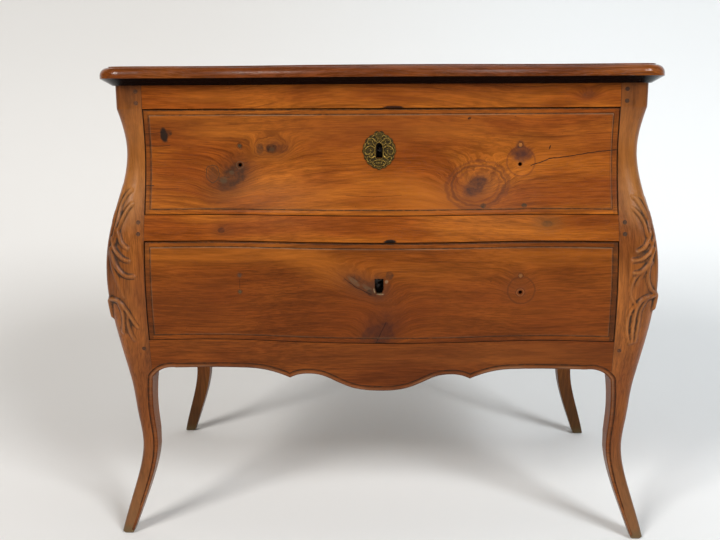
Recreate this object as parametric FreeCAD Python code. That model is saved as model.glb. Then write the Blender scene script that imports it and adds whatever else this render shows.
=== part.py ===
# Bombe chest of two drawers in solid fruitwood: a pegged frame of four posts, two dovetailed drawers
# with iron locks, and a loose board top. Millimetres, +Z up, the front faces -Y. The origin is on the
# floor, under the middle of the chest's outer box.
import FreeCAD
import Part

import math
import os

V = FreeCAD.Vector

# ---------------------------------------------------------------- case, from the floor up
LEG_CLEAR = 325.5        # floor to the flat underside of the aprons
APRON_H = 57.0           # apron above that underside
LOWER_OPENING_H = 189.0
MID_RAIL_H = 46.0
UPPER_OPENING_H = 193.5
TOP_RAIL_H = 42.0
TOP_T = 34.0
CASE_W = 966.0           # across the posts, just under the top
CASE_D = 558.0           # front of the front posts to back of the rear posts, just under the top
POST = 52.0              # a post's size just under the top
TOP_OVERHANG = 27.0      # front and sides
TOP_BACK_OVERHANG = 6.0

# ---------------------------------------------------------------- the curves of the front and sides
SWELL = 18.8             # serpentine: how far the middle of the front stands forward
SHOULDER_X = 150.0
SHOULDER_OUT = 9.0
HOLLOW_X = 305.0
HOLLOW_IN = 8.0

TOE_OUT = 15.3           # bombe: how far each level stands out from the line of the case top
SHIN_Z = 76.0
SHIN_OUT = -4.2
ANKLE_Z = 168.0
ANKLE_OUT = -20.6
CALF_OUT = -14.2
KNEE_DROP = 40.0         # knee below the aprons' underside
KNEE_OUT = -7.4
APRON_OUT = 0.3
HIP_RISE = 30.0          # hip above the lower opening's floor
HIP_OUT = 17.6
BULGE_RISE = 122.0
BULGE_OUT = 26.3
BREAST_OUT = 16.7        # at the middle rail's centre
NECK_RISE = 60.0         # neck above the upper opening's floor
NECK_OUT = -3.5
WAIST_DROP = 70.0        # waist below the kink
WAIST_OUT = -9.8
THROAT_DROP = 25.0
THROAT_OUT = -4.4
KINK_OUT = -0.7

POST_ROUND = 34.0        # radius of a front post's outer corner, and where it tightens down the leg
HEAD_ROUND = 18.0        # above the kink
THROAT_ROUND = 30.0
HIP_ROUND = 32.0
APRON_ROUND = 24.0
KNEE_ROUND = 20.0
CALF_ROUND = 17.0
ANKLE_ROUND = 14.0
SHIN_ROUND = 12.0
TOE_ROUND = 10.0

TOE_T = 22.6             # leg thickness, front to inner face
SHIN_T = 29.0
ANKLE_T = 31.8
CALF_T = 35.3
KNEE_T = 42.6
LEG_SPRING_DROP = 19.5   # where the leg leaves the post, below the aprons' underside
TOE_CHAMFER = 3.0

# ---------------------------------------------------------------- timber sizes
RAIL_T = 40.0
APRON_T = 30.0
SIDE_T = 20.0            # side rails, panels and aprons
TONGUE_T = 8.0
TONGUE_L = 8.0
BACK_RAIL_T = 24.0
BACK_BOARD_T = 12.0
BACK_SETBACK = 4.0
BACK_BOTTOM_RAIL_H = 48.0
BACK_BOARD_COUNT = 3
TENON_T = 12.0
TENON_L = 24.0
TENON_SHOULDER = 6.0
SIDE_TENON_T = 10.0
SIDE_TENON_L = 20.0
PEG_D = 8.0
PEG_SPACING = 21.0
PEG_MARGIN = 3.0         # wood left in a tenon above and below its pair of pegs
PEG_INSET = 11.0         # peg centre from the shoulder
PEG_DEPTH = 36.0
APRON_PEG_RISE = 40.0    # the apron's front peg above its flat underside

# ---------------------------------------------------------------- apron outline, from the middle out
APRON_DROP = 38.5        # middle of the front apron below its flat underside
DROP_STEPS = (           # half-width and drop of the front apron's curve, middle to cusp
    (55.0, 31.5),
    (82.0, 20.0),
    (108.0, 9.0),
    (132.0, 6.5),
    (151.0, 9.0),
)
CUSP_X = 168.5
CUSP_DROP = 16.5
APRON_RISE_X = 245.0     # where the curve outside the cusp meets the flat
APRON_END = 46.0         # length of the curve from the flat down to the leg
END_BEND_ALONG = 15.3    # a point that the curve passes: from the leg, and below the flat
END_BEND_DROP = 4.9
SIDE_APRON_DROP = 22.0
SIDE_APRON_HALF = 120.0

# ---------------------------------------------------------------- top board
TOP_CORNER = 45.0
STEP_H = 1.8             # the raised field's height above the nose
STEP_BACK = 1.0          # flat between the nose's round and the raised field
NOSE_FLAT = 5.0          # flat left on the nose between its round and the bevel
BEVEL_H = 12.4           # the bevel under the nose
BEVEL_LIP = 5.0          # flat left beneath, outside the case

# ---------------------------------------------------------------- drawers and what carries them
FRONT_T = 30.0
DRAWER_SIDE_T = 13.0
DRAWER_BACK_T = 12.0
BOTTOM_T = 9.0
BOTTOM_RISE = 10.0
BOTTOM_GROOVE = 6.0
FRONT_SIDE_GAP = 1.5
FRONT_TOP_GAP = 2.0
FRONT_BOTTOM_GAP = 1.2
RUN_GAP = 0.3
SIDE_TOP_DROP = 8.0      # drawer sides below the opening's head
BACK_TOP_DROP = 14.0
STOP_L = 24.0
STOP_W = 26.0
STOP_H = 14.0
STOP_GAP = 0.6           # a shut drawer's back to its stops
TAIL_COUNT = 3
TAIL_H = 34.0
TAIL_FLARE = 3.0
TAIL_L = 16.0
TAIL_ROOT = 6.0
RUNNER_W = 40.0
LOWER_RUNNER_T = 22.0
GUIDE_W = 14.0
GUIDE_RISE = 28.0
KICKER_H = 18.0
BLOCK_L = 60.0
BLOCK_W = 20.0
BLOCK_COUNT = 3
BOTTOM_NAIL_D = 3.0
BOTTOM_NAIL_HEAD_D = 7.0
BOTTOM_NAIL_HEAD_T = 1.2
BOTTOM_NAIL_L = 26.0
BOTTOM_NAIL_COUNT = 4

# ---------------------------------------------------------------- pull holes
PULL_HOLE_D = 7.0
PULL_X = 256.5
UPPER_PULL_DROP = 68.0    # upper hole of a pair, below the drawer opening's head
UPPER_PULL_SPACING = 35.0
LOWER_PULL_DROP = 63.5
LOWER_PULL_SPACING = 31.0
PULL_PLUG_L = 16.0

# ---------------------------------------------------------------- keyholes, locks and escutcheon
KEYHOLE_DROP = 76.0      # keyhole's centre below the upper drawer opening's head
LOWER_KEYHOLE_DROP = 79.5
KEYHOLE_W = 10.6
KEYHOLE_H = 26.4
WORN_KEYHOLE_W = 15.6
WORN_KEYHOLE_TOE_W = 9.0
WORN_KEYHOLE_H = 28.4
LOCK_W = 68.0
LOCK_BELOW = 26.0        # lock plate below the keyhole's centre
LOCK_DEPTH = 14.0
LOCK_PLATE_T = 2.5
LOCK_PLATE_MARGIN = 8.0
LOCK_SEAT_GAP = 0.2
BOLT_W = 26.0
BOLT_T = 7.0
BOLT_H = 36.0
BOLT_THROW = 9.0
BOLT_GAP = 0.3
MORTISE_GAP = 1.5
MORTISE_ROOM = 5.0       # mortise depth beyond the bolt's throw
KEY_PIN_D = 4.5
KEY_PIN_L = 12.0
SPRING_T = 1.2
SPRING_W = 6.0
SPRING_L = 30.0
LOCK_NAIL_D = 2.5
LOCK_NAIL_HEAD_D = 6.0
LOCK_NAIL_HEAD_T = 1.2
LOCK_NAIL_L = 5.0
ESCUTCHEON_W = 58.5
ESCUTCHEON_H = 68.5
ESCUTCHEON_T = 2.2
ESCUTCHEON_GAP = 0.3     # under the plate, over the wood
ESCUTCHEON_LOBES = 12
ESCUTCHEON_LOBE_DEPTH = 1.6
ESCUTCHEON_PIN_D = 1.6
ESCUTCHEON_PIN_HEAD_D = 3.4
ESCUTCHEON_PIN_HEAD_T = 0.8
ESCUTCHEON_PIN_L = 8.0
ESCUTCHEON_PIN_INSET = 5.5
ESCUTCHEON_PIN_SINK = 0.6

# ---------------------------------------------------------------- levels and planes
Z_APRON = LEG_CLEAR
Z_LOWER = Z_APRON + APRON_H
Z_MID = Z_LOWER + LOWER_OPENING_H
Z_UPPER = Z_MID + MID_RAIL_H
Z_KINK = Z_UPPER + UPPER_OPENING_H
Z_TOP = Z_KINK + TOP_RAIL_H
HALF_W = CASE_W / 2
POST_IN = HALF_W - POST
DEPTH = TOP_OVERHANG + SWELL + CASE_D + TOP_BACK_OVERHANG
FRONT = TOP_OVERHANG + SWELL - DEPTH / 2
BACK = FRONT + CASE_D
POST_BEHIND = FRONT + POST
REAR_POST_FRONT = BACK - POST
BACK_RAIL_FRONT = BACK - BACK_SETBACK - BACK_RAIL_T
BOARD_BACK = BACK - BACK_SETBACK - (BACK_RAIL_T - BACK_BOARD_T) / 2
BOARD_FRONT = BOARD_BACK - BACK_BOARD_T
DRAWER_HALF = POST_IN - FRONT_SIDE_GAP
DRAWER_BACK_Y = BOARD_FRONT - STOP_L - STOP_GAP
PAIR_TENON_H = PEG_SPACING + PEG_D + 2 * PEG_MARGIN
NOSE_T = TOP_T - STEP_H
NOSE_ROUND = NOSE_T - BEVEL_H - NOSE_FLAT
STEP_IN = NOSE_ROUND + STEP_BACK
MORTISE_DEPTH = BOLT_THROW + MORTISE_ROOM
REACH = 90.0             # how far working solids run past the piece they shape
SEAT_SAMPLES = 12        # heights at which a lock plate's bed is compared with the drawer front


def box(x0, x1, y0, y1, z0, z1):
    """A box between two corners."""
    return Part.makeBox(x1 - x0, y1 - y0, z1 - z0, V(x0, y0, z0))


def rod(diameter, start, end):
    """A round rod between two points."""
    run = end - start
    return Part.makeCylinder(diameter / 2, run.Length, start, run)


def mirrored(shape):
    """The same piece for the other side of the chest."""
    return shape.mirror(V(0, 0, 0), V(1, 0, 0))


def joined(shapes):
    """One solid from touching or overlapping ones."""
    return shapes[0].fuse(shapes[1:]).removeSplitter()


def graph(points, parameters):
    """A smooth curve that passes each point at its own parameter."""
    curve = Part.BSplineCurve()
    curve.interpolate(Points=points, Parameters=parameters)
    return curve


def bombe_stations():
    """The swelling line from toe to kink, as (height, out, corner radius)."""
    knee_z = Z_APRON - KNEE_DROP
    return (
        (0.0, TOE_OUT, TOE_ROUND),
        (SHIN_Z, SHIN_OUT, SHIN_ROUND),
        (ANKLE_Z, ANKLE_OUT, ANKLE_ROUND),
        ((ANKLE_Z + knee_z) / 2, CALF_OUT, CALF_ROUND),
        (knee_z, KNEE_OUT, KNEE_ROUND),
        (Z_APRON, APRON_OUT, APRON_ROUND),
        (Z_LOWER + HIP_RISE, HIP_OUT, HIP_ROUND),
        (Z_LOWER + BULGE_RISE, BULGE_OUT, POST_ROUND),
        ((Z_MID + Z_UPPER) / 2, BREAST_OUT, POST_ROUND),
        (Z_UPPER + NECK_RISE, NECK_OUT, POST_ROUND),
        (Z_KINK - WAIST_DROP, WAIST_OUT, POST_ROUND),
        (Z_KINK - THROAT_DROP, THROAT_OUT, THROAT_ROUND),
        (Z_KINK, KINK_OUT, HEAD_ROUND),
    )


def bombe_curve(stations):
    """The line as a curve of (out, corner radius, height), with the height as its parameter."""
    points = [V(out, radius, height) for height, out, radius in stations]
    return graph(points, [height for height, out, radius in stations])


def serpentine_curve():
    """The front's plan line as (x, forward), with x as its parameter."""
    half = (
        (SHOULDER_X, SHOULDER_OUT),
        (HOLLOW_X, -HOLLOW_IN),
        (POST_IN, 0.0),
        (POST_IN + POST, 0.0),
    )
    left = [(-x, out) for x, out in reversed(half)]
    stations = left + [(0.0, SWELL)] + list(half)
    return graph([V(x, out, 0) for x, out in stations], [x for x, out in stations])


LOWER_LINE = bombe_curve(bombe_stations())
UPPER_LINE = bombe_curve(((Z_KINK, KINK_OUT, HEAD_ROUND), (Z_TOP, 0.0, HEAD_ROUND)))
SERPENTINE = serpentine_curve()


def line_at(z):
    """The swelling line that holds at a height."""
    return UPPER_LINE if z >= Z_KINK else LOWER_LINE


def out_at(z):
    """How far the faces stand out from the line of the case top at a height."""
    return line_at(z).value(z).x


def front_y(x, z):
    """The front surface's y at a place."""
    return FRONT - out_at(z) - SERPENTINE.value(x).y


def surface(line, columns, weights):
    """A face whose columns of poles follow the swelling line; columns map one line pole to a point."""
    poles = [[column(pole) for column in columns] for pole in line.getPoles()]
    degree = len(columns) - 1
    patch = Part.BSplineSurface()
    patch.buildFromPolesMultsKnots(
        poles,
        line.getMultiplicities(),
        [degree + 1, degree + 1],
        line.getKnots(),
        [0.0, 1.0],
        False,
        False,
        line.Degree,
        degree,
        [list(weights) for _ in poles],
    )
    return patch.toShape()


def skinned(line, corners, arc_at=None):
    """A closed solid that follows the swelling line. corners are functions of a line pole; the corner
    at index arc_at is rounded between its two neighbours."""
    faces = []
    count = len(corners)
    index = 0
    while index < count:
        following = (index + 1) % count
        if arc_at is not None and following == arc_at:
            after = (arc_at + 1) % count
            columns = [corners[index], corners[arc_at], corners[after]]
            faces.append(surface(line, columns, (1.0, math.sqrt(0.5), 1.0)))
            index += 2
            continue
        faces.append(surface(line, [corners[index], corners[following]], (1.0, 1.0)))
        index += 1
    for end in (line.FirstParameter, line.LastParameter):
        faces.append(cap(faces, end))
    shell = Part.Shell(Part.makeCompound(faces).Faces)
    shell.sewShape()
    solid = Part.Solid(shell)
    if solid.Volume < 0:
        solid.reverse()
    return solid


def cap(faces, height):
    """The flat end of a skinned solid."""
    edges = []
    for face in faces:
        for edge in face.Edges:
            flat = max(abs(v.Z - height) for v in edge.Vertexes) < 1e-6
            if flat and edge.BoundBox.ZLength < 1e-4:
                edges.append(edge)
    return Part.Face(Part.Wire(Part.__sortEdges__(edges)))


def front_slab(z0, z1, x0, x1, thickness, offset=0.0):
    """A serpentine and bombe board: the front surface between two heights and two sides, given a
    thickness straight back. offset moves its face back."""
    line = line_at((z0 + z1) / 2)
    poles = []
    for rise in line.getPoles():
        row = [V(run.x, FRONT + offset - rise.x - run.y, rise.z) for run in SERPENTINE.getPoles()]
        poles.append(row)
    patch = Part.BSplineSurface()
    patch.buildFromPolesMultsKnots(
        poles,
        line.getMultiplicities(),
        SERPENTINE.getMultiplicities(),
        line.getKnots(),
        SERPENTINE.getKnots(),
        False,
        False,
        line.Degree,
        SERPENTINE.Degree,
    )
    patch.segment(z0, z1, x0, x1)
    return patch.toShape().extrude(V(0, thickness, 0))


def side_slab(z0, z1, thickness, offset, y0, y1):
    """A bombe board of the right-hand side. offset moves its face inwards."""
    line = line_at((z0 + z1) / 2)
    outer = Part.BSplineCurve()
    poles = [V(HALF_W - offset + pole.x, y0, pole.z) for pole in line.getPoles()]
    outer.buildFromPolesMultsKnots(
        poles, line.getMultiplicities(), line.getKnots(), False, line.Degree
    )
    outer.segment(z0, z1)
    inner = outer.copy()
    inner.translate(V(-thickness, 0, 0))
    outer_edge = outer.toShape()
    inner_edge = inner.toShape()
    foot = Part.makeLine(inner.value(z0), outer.value(z0))
    head = Part.makeLine(inner.value(z1), outer.value(z1))
    wire = Part.Wire(Part.__sortEdges__([outer_edge, head, inner_edge, foot]))
    return Part.Face(wire).extrude(V(0, y1 - y0, 0))


# ---------------------------------------------------------------- posts
def leg_outline(flat):
    """The inner edge of a leg, as (distance outside the post's inner face, height). flat is for the
    side view of a rear leg, whose back face stays straight."""
    knee_z = Z_APRON - KNEE_DROP
    calf_z = (ANKLE_Z + knee_z) / 2
    stations = (
        (0.0, TOE_OUT, TOE_T),
        (SHIN_Z, SHIN_OUT, SHIN_T),
        (ANKLE_Z, ANKLE_OUT, ANKLE_T),
        (calf_z, CALF_OUT, CALF_T),
        (knee_z, KNEE_OUT, KNEE_T),
        (Z_APRON - LEG_SPRING_DROP, 0.0, POST),
    )
    points = [V(POST + (0.0 if flat else out) - thick, 0, z) for z, out, thick in stations]
    return graph(points, [z for z, out, thick in stations])


def sawn_outline(flat=False):
    """A post's silhouette, open above on its inner side, as a face in the XZ plane with x measured
    outwards from the post's inner face."""
    leg = leg_outline(flat)
    spring = leg.value(leg.LastParameter)
    toe = leg.value(leg.FirstParameter)
    corners = [
        spring,
        V(-REACH, 0, spring.z),
        V(-REACH, 0, Z_TOP + REACH),
        V(POST + REACH, 0, Z_TOP + REACH),
        V(POST + REACH, 0, 0),
        toe,
    ]
    lines = [Part.makeLine(a, b) for a, b in zip(corners, corners[1:])]
    return Part.Face(Part.Wire(Part.__sortEdges__([leg.toShape(), *lines])))


def sawn_from_front():
    """The right-hand posts' shape seen from the front, run through the whole depth."""
    face = sawn_outline()
    face.translate(V(POST_IN, FRONT - REACH, 0))
    return face.extrude(V(0, CASE_D + 2 * REACH, 0))


def sawn_from_side(rear):
    """A post's shape seen from the side, run through the width of the right-hand posts."""
    face = sawn_outline(flat=rear)
    face.rotate(V(0, 0, 0), V(0, 0, 1), 90 if rear else -90)
    face.translate(V(POST_IN - REACH, REAR_POST_FRONT if rear else POST_BEHIND, 0))
    return face.extrude(V(POST + 2 * REACH, 0, 0))


def front_post_blank(line):
    """The right front post's outer skin over one swelling line, before sawing."""
    corners = [
        lambda p: V(POST_IN, FRONT - p.x, p.z),
        lambda p: V(HALF_W + p.x - p.y, FRONT - p.x, p.z),
        lambda p: V(HALF_W + p.x, FRONT - p.x, p.z),
        lambda p: V(HALF_W + p.x, FRONT - p.x + p.y, p.z),
        lambda p: V(HALF_W + p.x, POST_BEHIND, p.z),
        lambda p: V(POST_IN, POST_BEHIND, p.z),
    ]
    return skinned(line, corners, arc_at=2)


def rear_post_blank(line):
    """The right rear post's outer skin: bombe to the side, flat behind."""
    corners = [
        lambda p: V(POST_IN, REAR_POST_FRONT, p.z),
        lambda p: V(HALF_W + p.x, REAR_POST_FRONT, p.z),
        lambda p: V(HALF_W + p.x, BACK, p.z),
        lambda p: V(POST_IN, BACK, p.z),
    ]
    return skinned(line, corners)


def toe_relief(post):
    """The post with the arris under its foot taken off."""
    edges = [e for e in post.Edges if e.BoundBox.ZMax < 1e-3]
    return post.makeChamfer(TOE_CHAMFER, edges)


def post_solid(rear):
    """A right-hand post with its leg."""
    blank = rear_post_blank if rear else front_post_blank
    solid = joined([blank(UPPER_LINE), blank(LOWER_LINE)])
    solid = solid.common(sawn_from_front()).common(sawn_from_side(rear))
    return toe_relief(solid)


# ---------------------------------------------------------------- front frame
def tenon(z_mid, height, y_mid):
    """A right-hand tenon of a front or back rail."""
    half = TENON_T / 2
    low = z_mid - height / 2
    x0 = POST_IN - TENON_SHOULDER
    return box(x0, POST_IN + TENON_L, y_mid - half, y_mid + half, low, low + height)


def front_rail(z0, z1, thickness):
    """A serpentine rail between the front posts, with its tenons."""
    body = front_slab(z0, z1, -POST_IN, POST_IN, thickness)
    return joined([body, *rail_tenons((z0 + z1) / 2, PAIR_TENON_H, thickness)])


def rail_tenons(z_mid, height, thickness):
    """Both tenons of a front rail."""
    right = tenon(z_mid, height, FRONT - out_at(z_mid) + thickness / 2)
    return [right, mirrored(right)]


def lock_mortise(z0, seat):
    """The slot above a drawer that its lock bolt rises into."""
    y0 = seat - BOLT_GAP - BOLT_T - MORTISE_GAP
    y1 = seat - BOLT_GAP + MORTISE_GAP
    half = BOLT_W / 2 + MORTISE_GAP
    return box(-half, half, y0, y1, z0, z0 + MORTISE_DEPTH)


def apron_profile():
    """The front apron's lower edge and a closed outline above it, as a face in the XZ plane."""
    flat = Z_APRON
    corner = V(POST_IN, 0, flat - LEG_SPRING_DROP)
    bend = V(POST_IN - END_BEND_ALONG, 0, flat - END_BEND_DROP)
    level = V(POST_IN - APRON_END, 0, flat)
    end = Part.Arc(corner, bend, level).toShape()
    rise = V(APRON_RISE_X, 0, flat)
    cusp = V(CUSP_X, 0, flat - CUSP_DROP)
    ease = Part.BezierCurve()
    ease.setPoles([rise, V((APRON_RISE_X + CUSP_X) / 2, 0, flat), cusp])
    drop = [V(x, 0, flat - fall) for x, fall in DROP_STEPS]
    mirror = [V(-p.x, 0, p.z) for p in drop]
    middle = Part.BSplineCurve()
    left_cusp = V(-cusp.x, 0, cusp.z)
    bottom = V(0, 0, flat - APRON_DROP)
    middle.interpolate([left_cusp, *reversed(mirror), bottom, *drop, cusp])
    half = [end, Part.makeLine(level, rise), ease.toShape()]
    head = Part.makeLine(V(-POST_IN, 0, Z_LOWER), V(POST_IN, 0, Z_LOWER))
    side = Part.makeLine(V(POST_IN, 0, Z_LOWER), corner)
    edges = half + [mirrored(e) for e in half] + [middle.toShape(), head, side, mirrored(side)]
    return Part.Face(Part.Wire(Part.__sortEdges__(edges)))


def front_apron():
    """The shaped lower rail."""
    slab = front_slab(Z_APRON - APRON_DROP - REACH / 2, Z_LOWER, -POST_IN, POST_IN, APRON_T)
    face = apron_profile()
    face.translate(V(0, FRONT - REACH, 0))
    shaped = slab.common(face.extrude(V(0, 2 * REACH, 0)))
    height = APRON_H - 2 * TENON_SHOULDER
    return joined([shaped, *rail_tenons((Z_APRON + Z_LOWER) / 2, height, APRON_T)])


# ---------------------------------------------------------------- sides
def side_tenons(z0, z1):
    """The two tenons of a right-hand side rail."""
    x_mid = HALF_W + out_at((z0 + z1) / 2) - SIDE_T / 2
    x0 = x_mid - SIDE_TENON_T / 2
    x1 = x_mid + SIDE_TENON_T / 2
    low = z0 + TENON_SHOULDER
    high = z1 - TENON_SHOULDER
    front = box(x0, x1, POST_BEHIND - SIDE_TENON_L, POST_BEHIND + TENON_SHOULDER, low, high)
    rear = box(x0, x1, REAR_POST_FRONT - TENON_SHOULDER, REAR_POST_FRONT + SIDE_TENON_L, low, high)
    return [front, rear]


def side_top_rail():
    """The right-hand rail under the top."""
    body = side_slab(Z_KINK, Z_TOP, SIDE_T, 0.0, POST_BEHIND, REAR_POST_FRONT)
    return joined([body, *side_tenons(Z_KINK, Z_TOP)])


def side_panel():
    """The right-hand bombe panel, tongued into the posts."""
    body = side_slab(Z_LOWER, Z_KINK, SIDE_T, 0.0, POST_BEHIND, REAR_POST_FRONT)
    inset = (SIDE_T - TONGUE_T) / 2
    y0 = POST_BEHIND - TONGUE_L
    y1 = REAR_POST_FRONT + TONGUE_L
    return joined([body, side_slab(Z_LOWER, Z_KINK, TONGUE_T, inset, y0, y1)])


def side_apron():
    """The right-hand lower rail, with a drop in its middle."""
    flat = Z_APRON
    low = flat - SIDE_APRON_DROP
    body = side_slab(low - TENON_SHOULDER, Z_LOWER, SIDE_T, 0.0, POST_BEHIND, REAR_POST_FRONT)
    y_mid = (POST_BEHIND + REAR_POST_FRONT) / 2
    ends = []
    for y, inwards in ((POST_BEHIND, 1), (REAR_POST_FRONT, -1)):
        corner = V(0, y, flat - LEG_SPRING_DROP)
        bend = V(0, y + inwards * END_BEND_ALONG, flat - END_BEND_DROP)
        level = V(0, y + inwards * APRON_END, flat)
        ends.append(Part.Arc(corner, bend, level).toShape())
    drop = Part.BezierCurve()
    drop.setPoles(
        [
            V(0, y_mid - SIDE_APRON_HALF, flat),
            V(0, y_mid - SIDE_APRON_HALF / 2, flat),
            V(0, y_mid - SIDE_APRON_HALF / 2, low),
            V(0, y_mid, low),
            V(0, y_mid + SIDE_APRON_HALF / 2, low),
            V(0, y_mid + SIDE_APRON_HALF / 2, flat),
            V(0, y_mid + SIDE_APRON_HALF, flat),
        ]
    )
    flats = [
        Part.makeLine(V(0, POST_BEHIND + APRON_END, flat), drop.StartPoint),
        Part.makeLine(drop.EndPoint, V(0, REAR_POST_FRONT - APRON_END, flat)),
    ]
    head = [
        Part.makeLine(V(0, POST_BEHIND, flat - LEG_SPRING_DROP), V(0, POST_BEHIND, Z_LOWER)),
        Part.makeLine(V(0, POST_BEHIND, Z_LOWER), V(0, REAR_POST_FRONT, Z_LOWER)),
        Part.makeLine(V(0, REAR_POST_FRONT, Z_LOWER), V(0, REAR_POST_FRONT, flat - LEG_SPRING_DROP)),
    ]
    wire = Part.Wire(Part.__sortEdges__(ends + flats + head + [drop.toShape()]))
    cutter = Part.Face(wire).extrude(V(HALF_W + REACH, 0, 0))
    return joined([body.common(cutter), *side_tenons(Z_APRON, Z_LOWER)])


# ---------------------------------------------------------------- back
def back_rail(z0, z1):
    """A flat rail between the rear posts, with its tenons and the boards' groove left to cut."""
    y1 = BACK - BACK_SETBACK
    y_mid = (BACK_RAIL_FRONT + y1) / 2
    body = box(-POST_IN, POST_IN, BACK_RAIL_FRONT, y1, z0, z1)
    right = tenon((z0 + z1) / 2, z1 - z0 - 2 * TENON_SHOULDER, y_mid)
    return joined([body, right, mirrored(right)])


def back_boards():
    """The horizontal boards, tongued into the posts and rails, from the lowest up."""
    low = Z_LOWER - TONGUE_L
    high = Z_KINK + TONGUE_L
    step = (high - low) / BACK_BOARD_COUNT
    half = POST_IN + TONGUE_L
    boards = []
    for index in range(BACK_BOARD_COUNT):
        z0 = low + index * step
        boards.append(box(-half, half, BOARD_FRONT, BOARD_BACK, z0, z0 + step))
    return boards


# ---------------------------------------------------------------- pegs
def front_peg_places():
    """Centres of the right-hand pegs of the front rails, as (x, z)."""
    x = POST_IN + PEG_INSET
    places = []
    for z0, z1 in ((Z_KINK, Z_TOP), (Z_MID, Z_UPPER)):
        z_mid = (z0 + z1) / 2
        places += [(x, z_mid - PEG_SPACING / 2), (x, z_mid + PEG_SPACING / 2)]
    places.append((x, Z_APRON + APRON_PEG_RISE))
    return places


def front_pegs(post):
    """The pegs through the right front post's face, flush with it."""
    pegs = []
    for x, z in front_peg_places():
        y = FRONT - out_at(z)
        pegs.append(rod(PEG_D, V(x, y - PEG_D, z), V(x, y + PEG_DEPTH, z)).common(post))
    return pegs


def side_pegs(posts):
    """The pegs through the right-hand posts' sides, flush with them."""
    pegs = []
    for post, y in zip(posts, (POST_BEHIND - PEG_INSET, REAR_POST_FRONT + PEG_INSET)):
        for z in ((Z_KINK + Z_TOP) / 2, (Z_APRON + Z_LOWER) / 2):
            x = HALF_W + out_at(z)
            pegs.append(rod(PEG_D, V(x - SIDE_T, y, z), V(x + PEG_D, y, z)).common(post))
    return pegs


def back_pegs():
    """The pegs through the right rear post's back."""
    x = POST_IN + PEG_INSET
    pegs = []
    for z0, z1 in ((Z_KINK, Z_TOP), (Z_LOWER - BACK_BOTTOM_RAIL_H, Z_LOWER)):
        z = (z0 + z1) / 2
        pegs.append(rod(PEG_D, V(x, BACK_RAIL_FRONT, z), V(x, BACK, z)))
    return pegs


# ---------------------------------------------------------------- top
def top_outline(overhang, corner, z):
    """The top's plan as a face: serpentine in front, rounded front corners, straight behind."""
    x_side = HALF_W + overhang
    y_front = FRONT - overhang
    y_back = BACK + TOP_BACK_OVERHANG
    x_turn = x_side - corner
    curve = SERPENTINE.copy()
    poles = [V(p.x, y_front - p.y, z) for p in SERPENTINE.getPoles()]
    curve.buildFromPolesMultsKnots(
        poles,
        SERPENTINE.getMultiplicities(),
        SERPENTINE.getKnots(),
        False,
        SERPENTINE.Degree,
    )
    curve.segment(-POST_IN, POST_IN)
    middle = V(x_side - corner * (1 - math.sqrt(0.5)), y_front + corner * (1 - math.sqrt(0.5)), z)
    start = V(x_turn, y_front, z)
    finish = V(x_side, y_front + corner, z)
    rear = V(x_side, y_back, z)
    right = [
        Part.makeLine(V(POST_IN, y_front, z), start),
        Part.Arc(start, middle, finish).toShape(),
        Part.makeLine(finish, rear),
    ]
    back = Part.makeLine(rear, V(-x_side, y_back, z))
    edges = [curve.toShape(), *right, *[mirrored(e) for e in right], back]
    return Part.Face(Part.Wire(Part.__sortEdges__(edges)))


def top_board():
    """The top: rounded above, bevelled beneath, with a low raised field one step in from its edge."""
    bevel_in = TOP_OVERHANG - BEVEL_LIP
    arris = Z_TOP + BEVEL_H
    sole = top_outline(BEVEL_LIP, TOP_CORNER - bevel_in, Z_TOP)
    widest = top_outline(TOP_OVERHANG, TOP_CORNER, arris)
    bevelled = Part.makeLoft([sole.OuterWire, widest.OuterWire], True, True)
    slab = widest.extrude(V(0, 0, NOSE_T - BEVEL_H))
    back = BACK + TOP_BACK_OVERHANG
    rounded = []
    for edge in slab.Edges:
        upper = edge.BoundBox.ZMin > arris + NOSE_ROUND
        rear = edge.BoundBox.YMin > back - 1e-3
        if upper and not rear:
            rounded.append(edge)
    slab = slab.makeFillet(NOSE_ROUND, rounded)
    field = top_outline(TOP_OVERHANG - STEP_IN, TOP_CORNER - STEP_IN, arris)
    return joined([bevelled, slab, field.extrude(V(0, 0, TOP_T - BEVEL_H))])


# ---------------------------------------------------------------- what carries the drawers
def runners_and_guides(z_floor, thickness, rail, y_rear):
    """The right-hand runner of one drawer, from its front rail to y_rear, and the guide glued outside
    it."""
    low = z_floor - thickness
    runner = box(POST_IN - RUNNER_W, POST_IN, FRONT - REACH, y_rear, low, z_floor)
    ahead = rail.fuse(box(0, POST_IN, FRONT - 2 * REACH, FRONT, low, z_floor))
    pieces = runner.cut(ahead).Solids
    runner = max(pieces, key=lambda s: s.Volume)
    guide = box(POST_IN, POST_IN + GUIDE_W, POST_BEHIND, REAR_POST_FRONT, low, z_floor + GUIDE_RISE)
    return runner, guide


def kicker(rail):
    """The right-hand strip that keeps the upper drawer from tipping."""
    strip = box(POST_IN - RUNNER_W, POST_IN, FRONT, BACK_RAIL_FRONT, Z_KINK, Z_KINK + KICKER_H)
    return max(strip.cut(rail).Solids, key=lambda s: s.Volume)


def drawer_stops():
    """A block at the back of each runner, just behind its drawer."""
    stops = []
    for z in (Z_LOWER, Z_UPPER):
        x1 = POST_IN - FRONT_SIDE_GAP
        y0 = BOARD_FRONT - STOP_L
        right = box(x1 - STOP_W, x1, y0, BOARD_FRONT, z, z + STOP_H)
        stops += [right, mirrored(right)]
    return stops


def top_blocks():
    """Glue blocks in the corner between the top and the back rail."""
    y1 = BACK_RAIL_FRONT
    span = 2 * (POST_IN - RUNNER_W - BLOCK_L)
    blocks = []
    for index in range(BLOCK_COUNT):
        x = -span / 2 + span * index / (BLOCK_COUNT - 1)
        half = BLOCK_L / 2
        blocks.append(box(x - half, x + half, y1 - BLOCK_W, y1, Z_TOP - BLOCK_W, Z_TOP))
    return blocks


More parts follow.
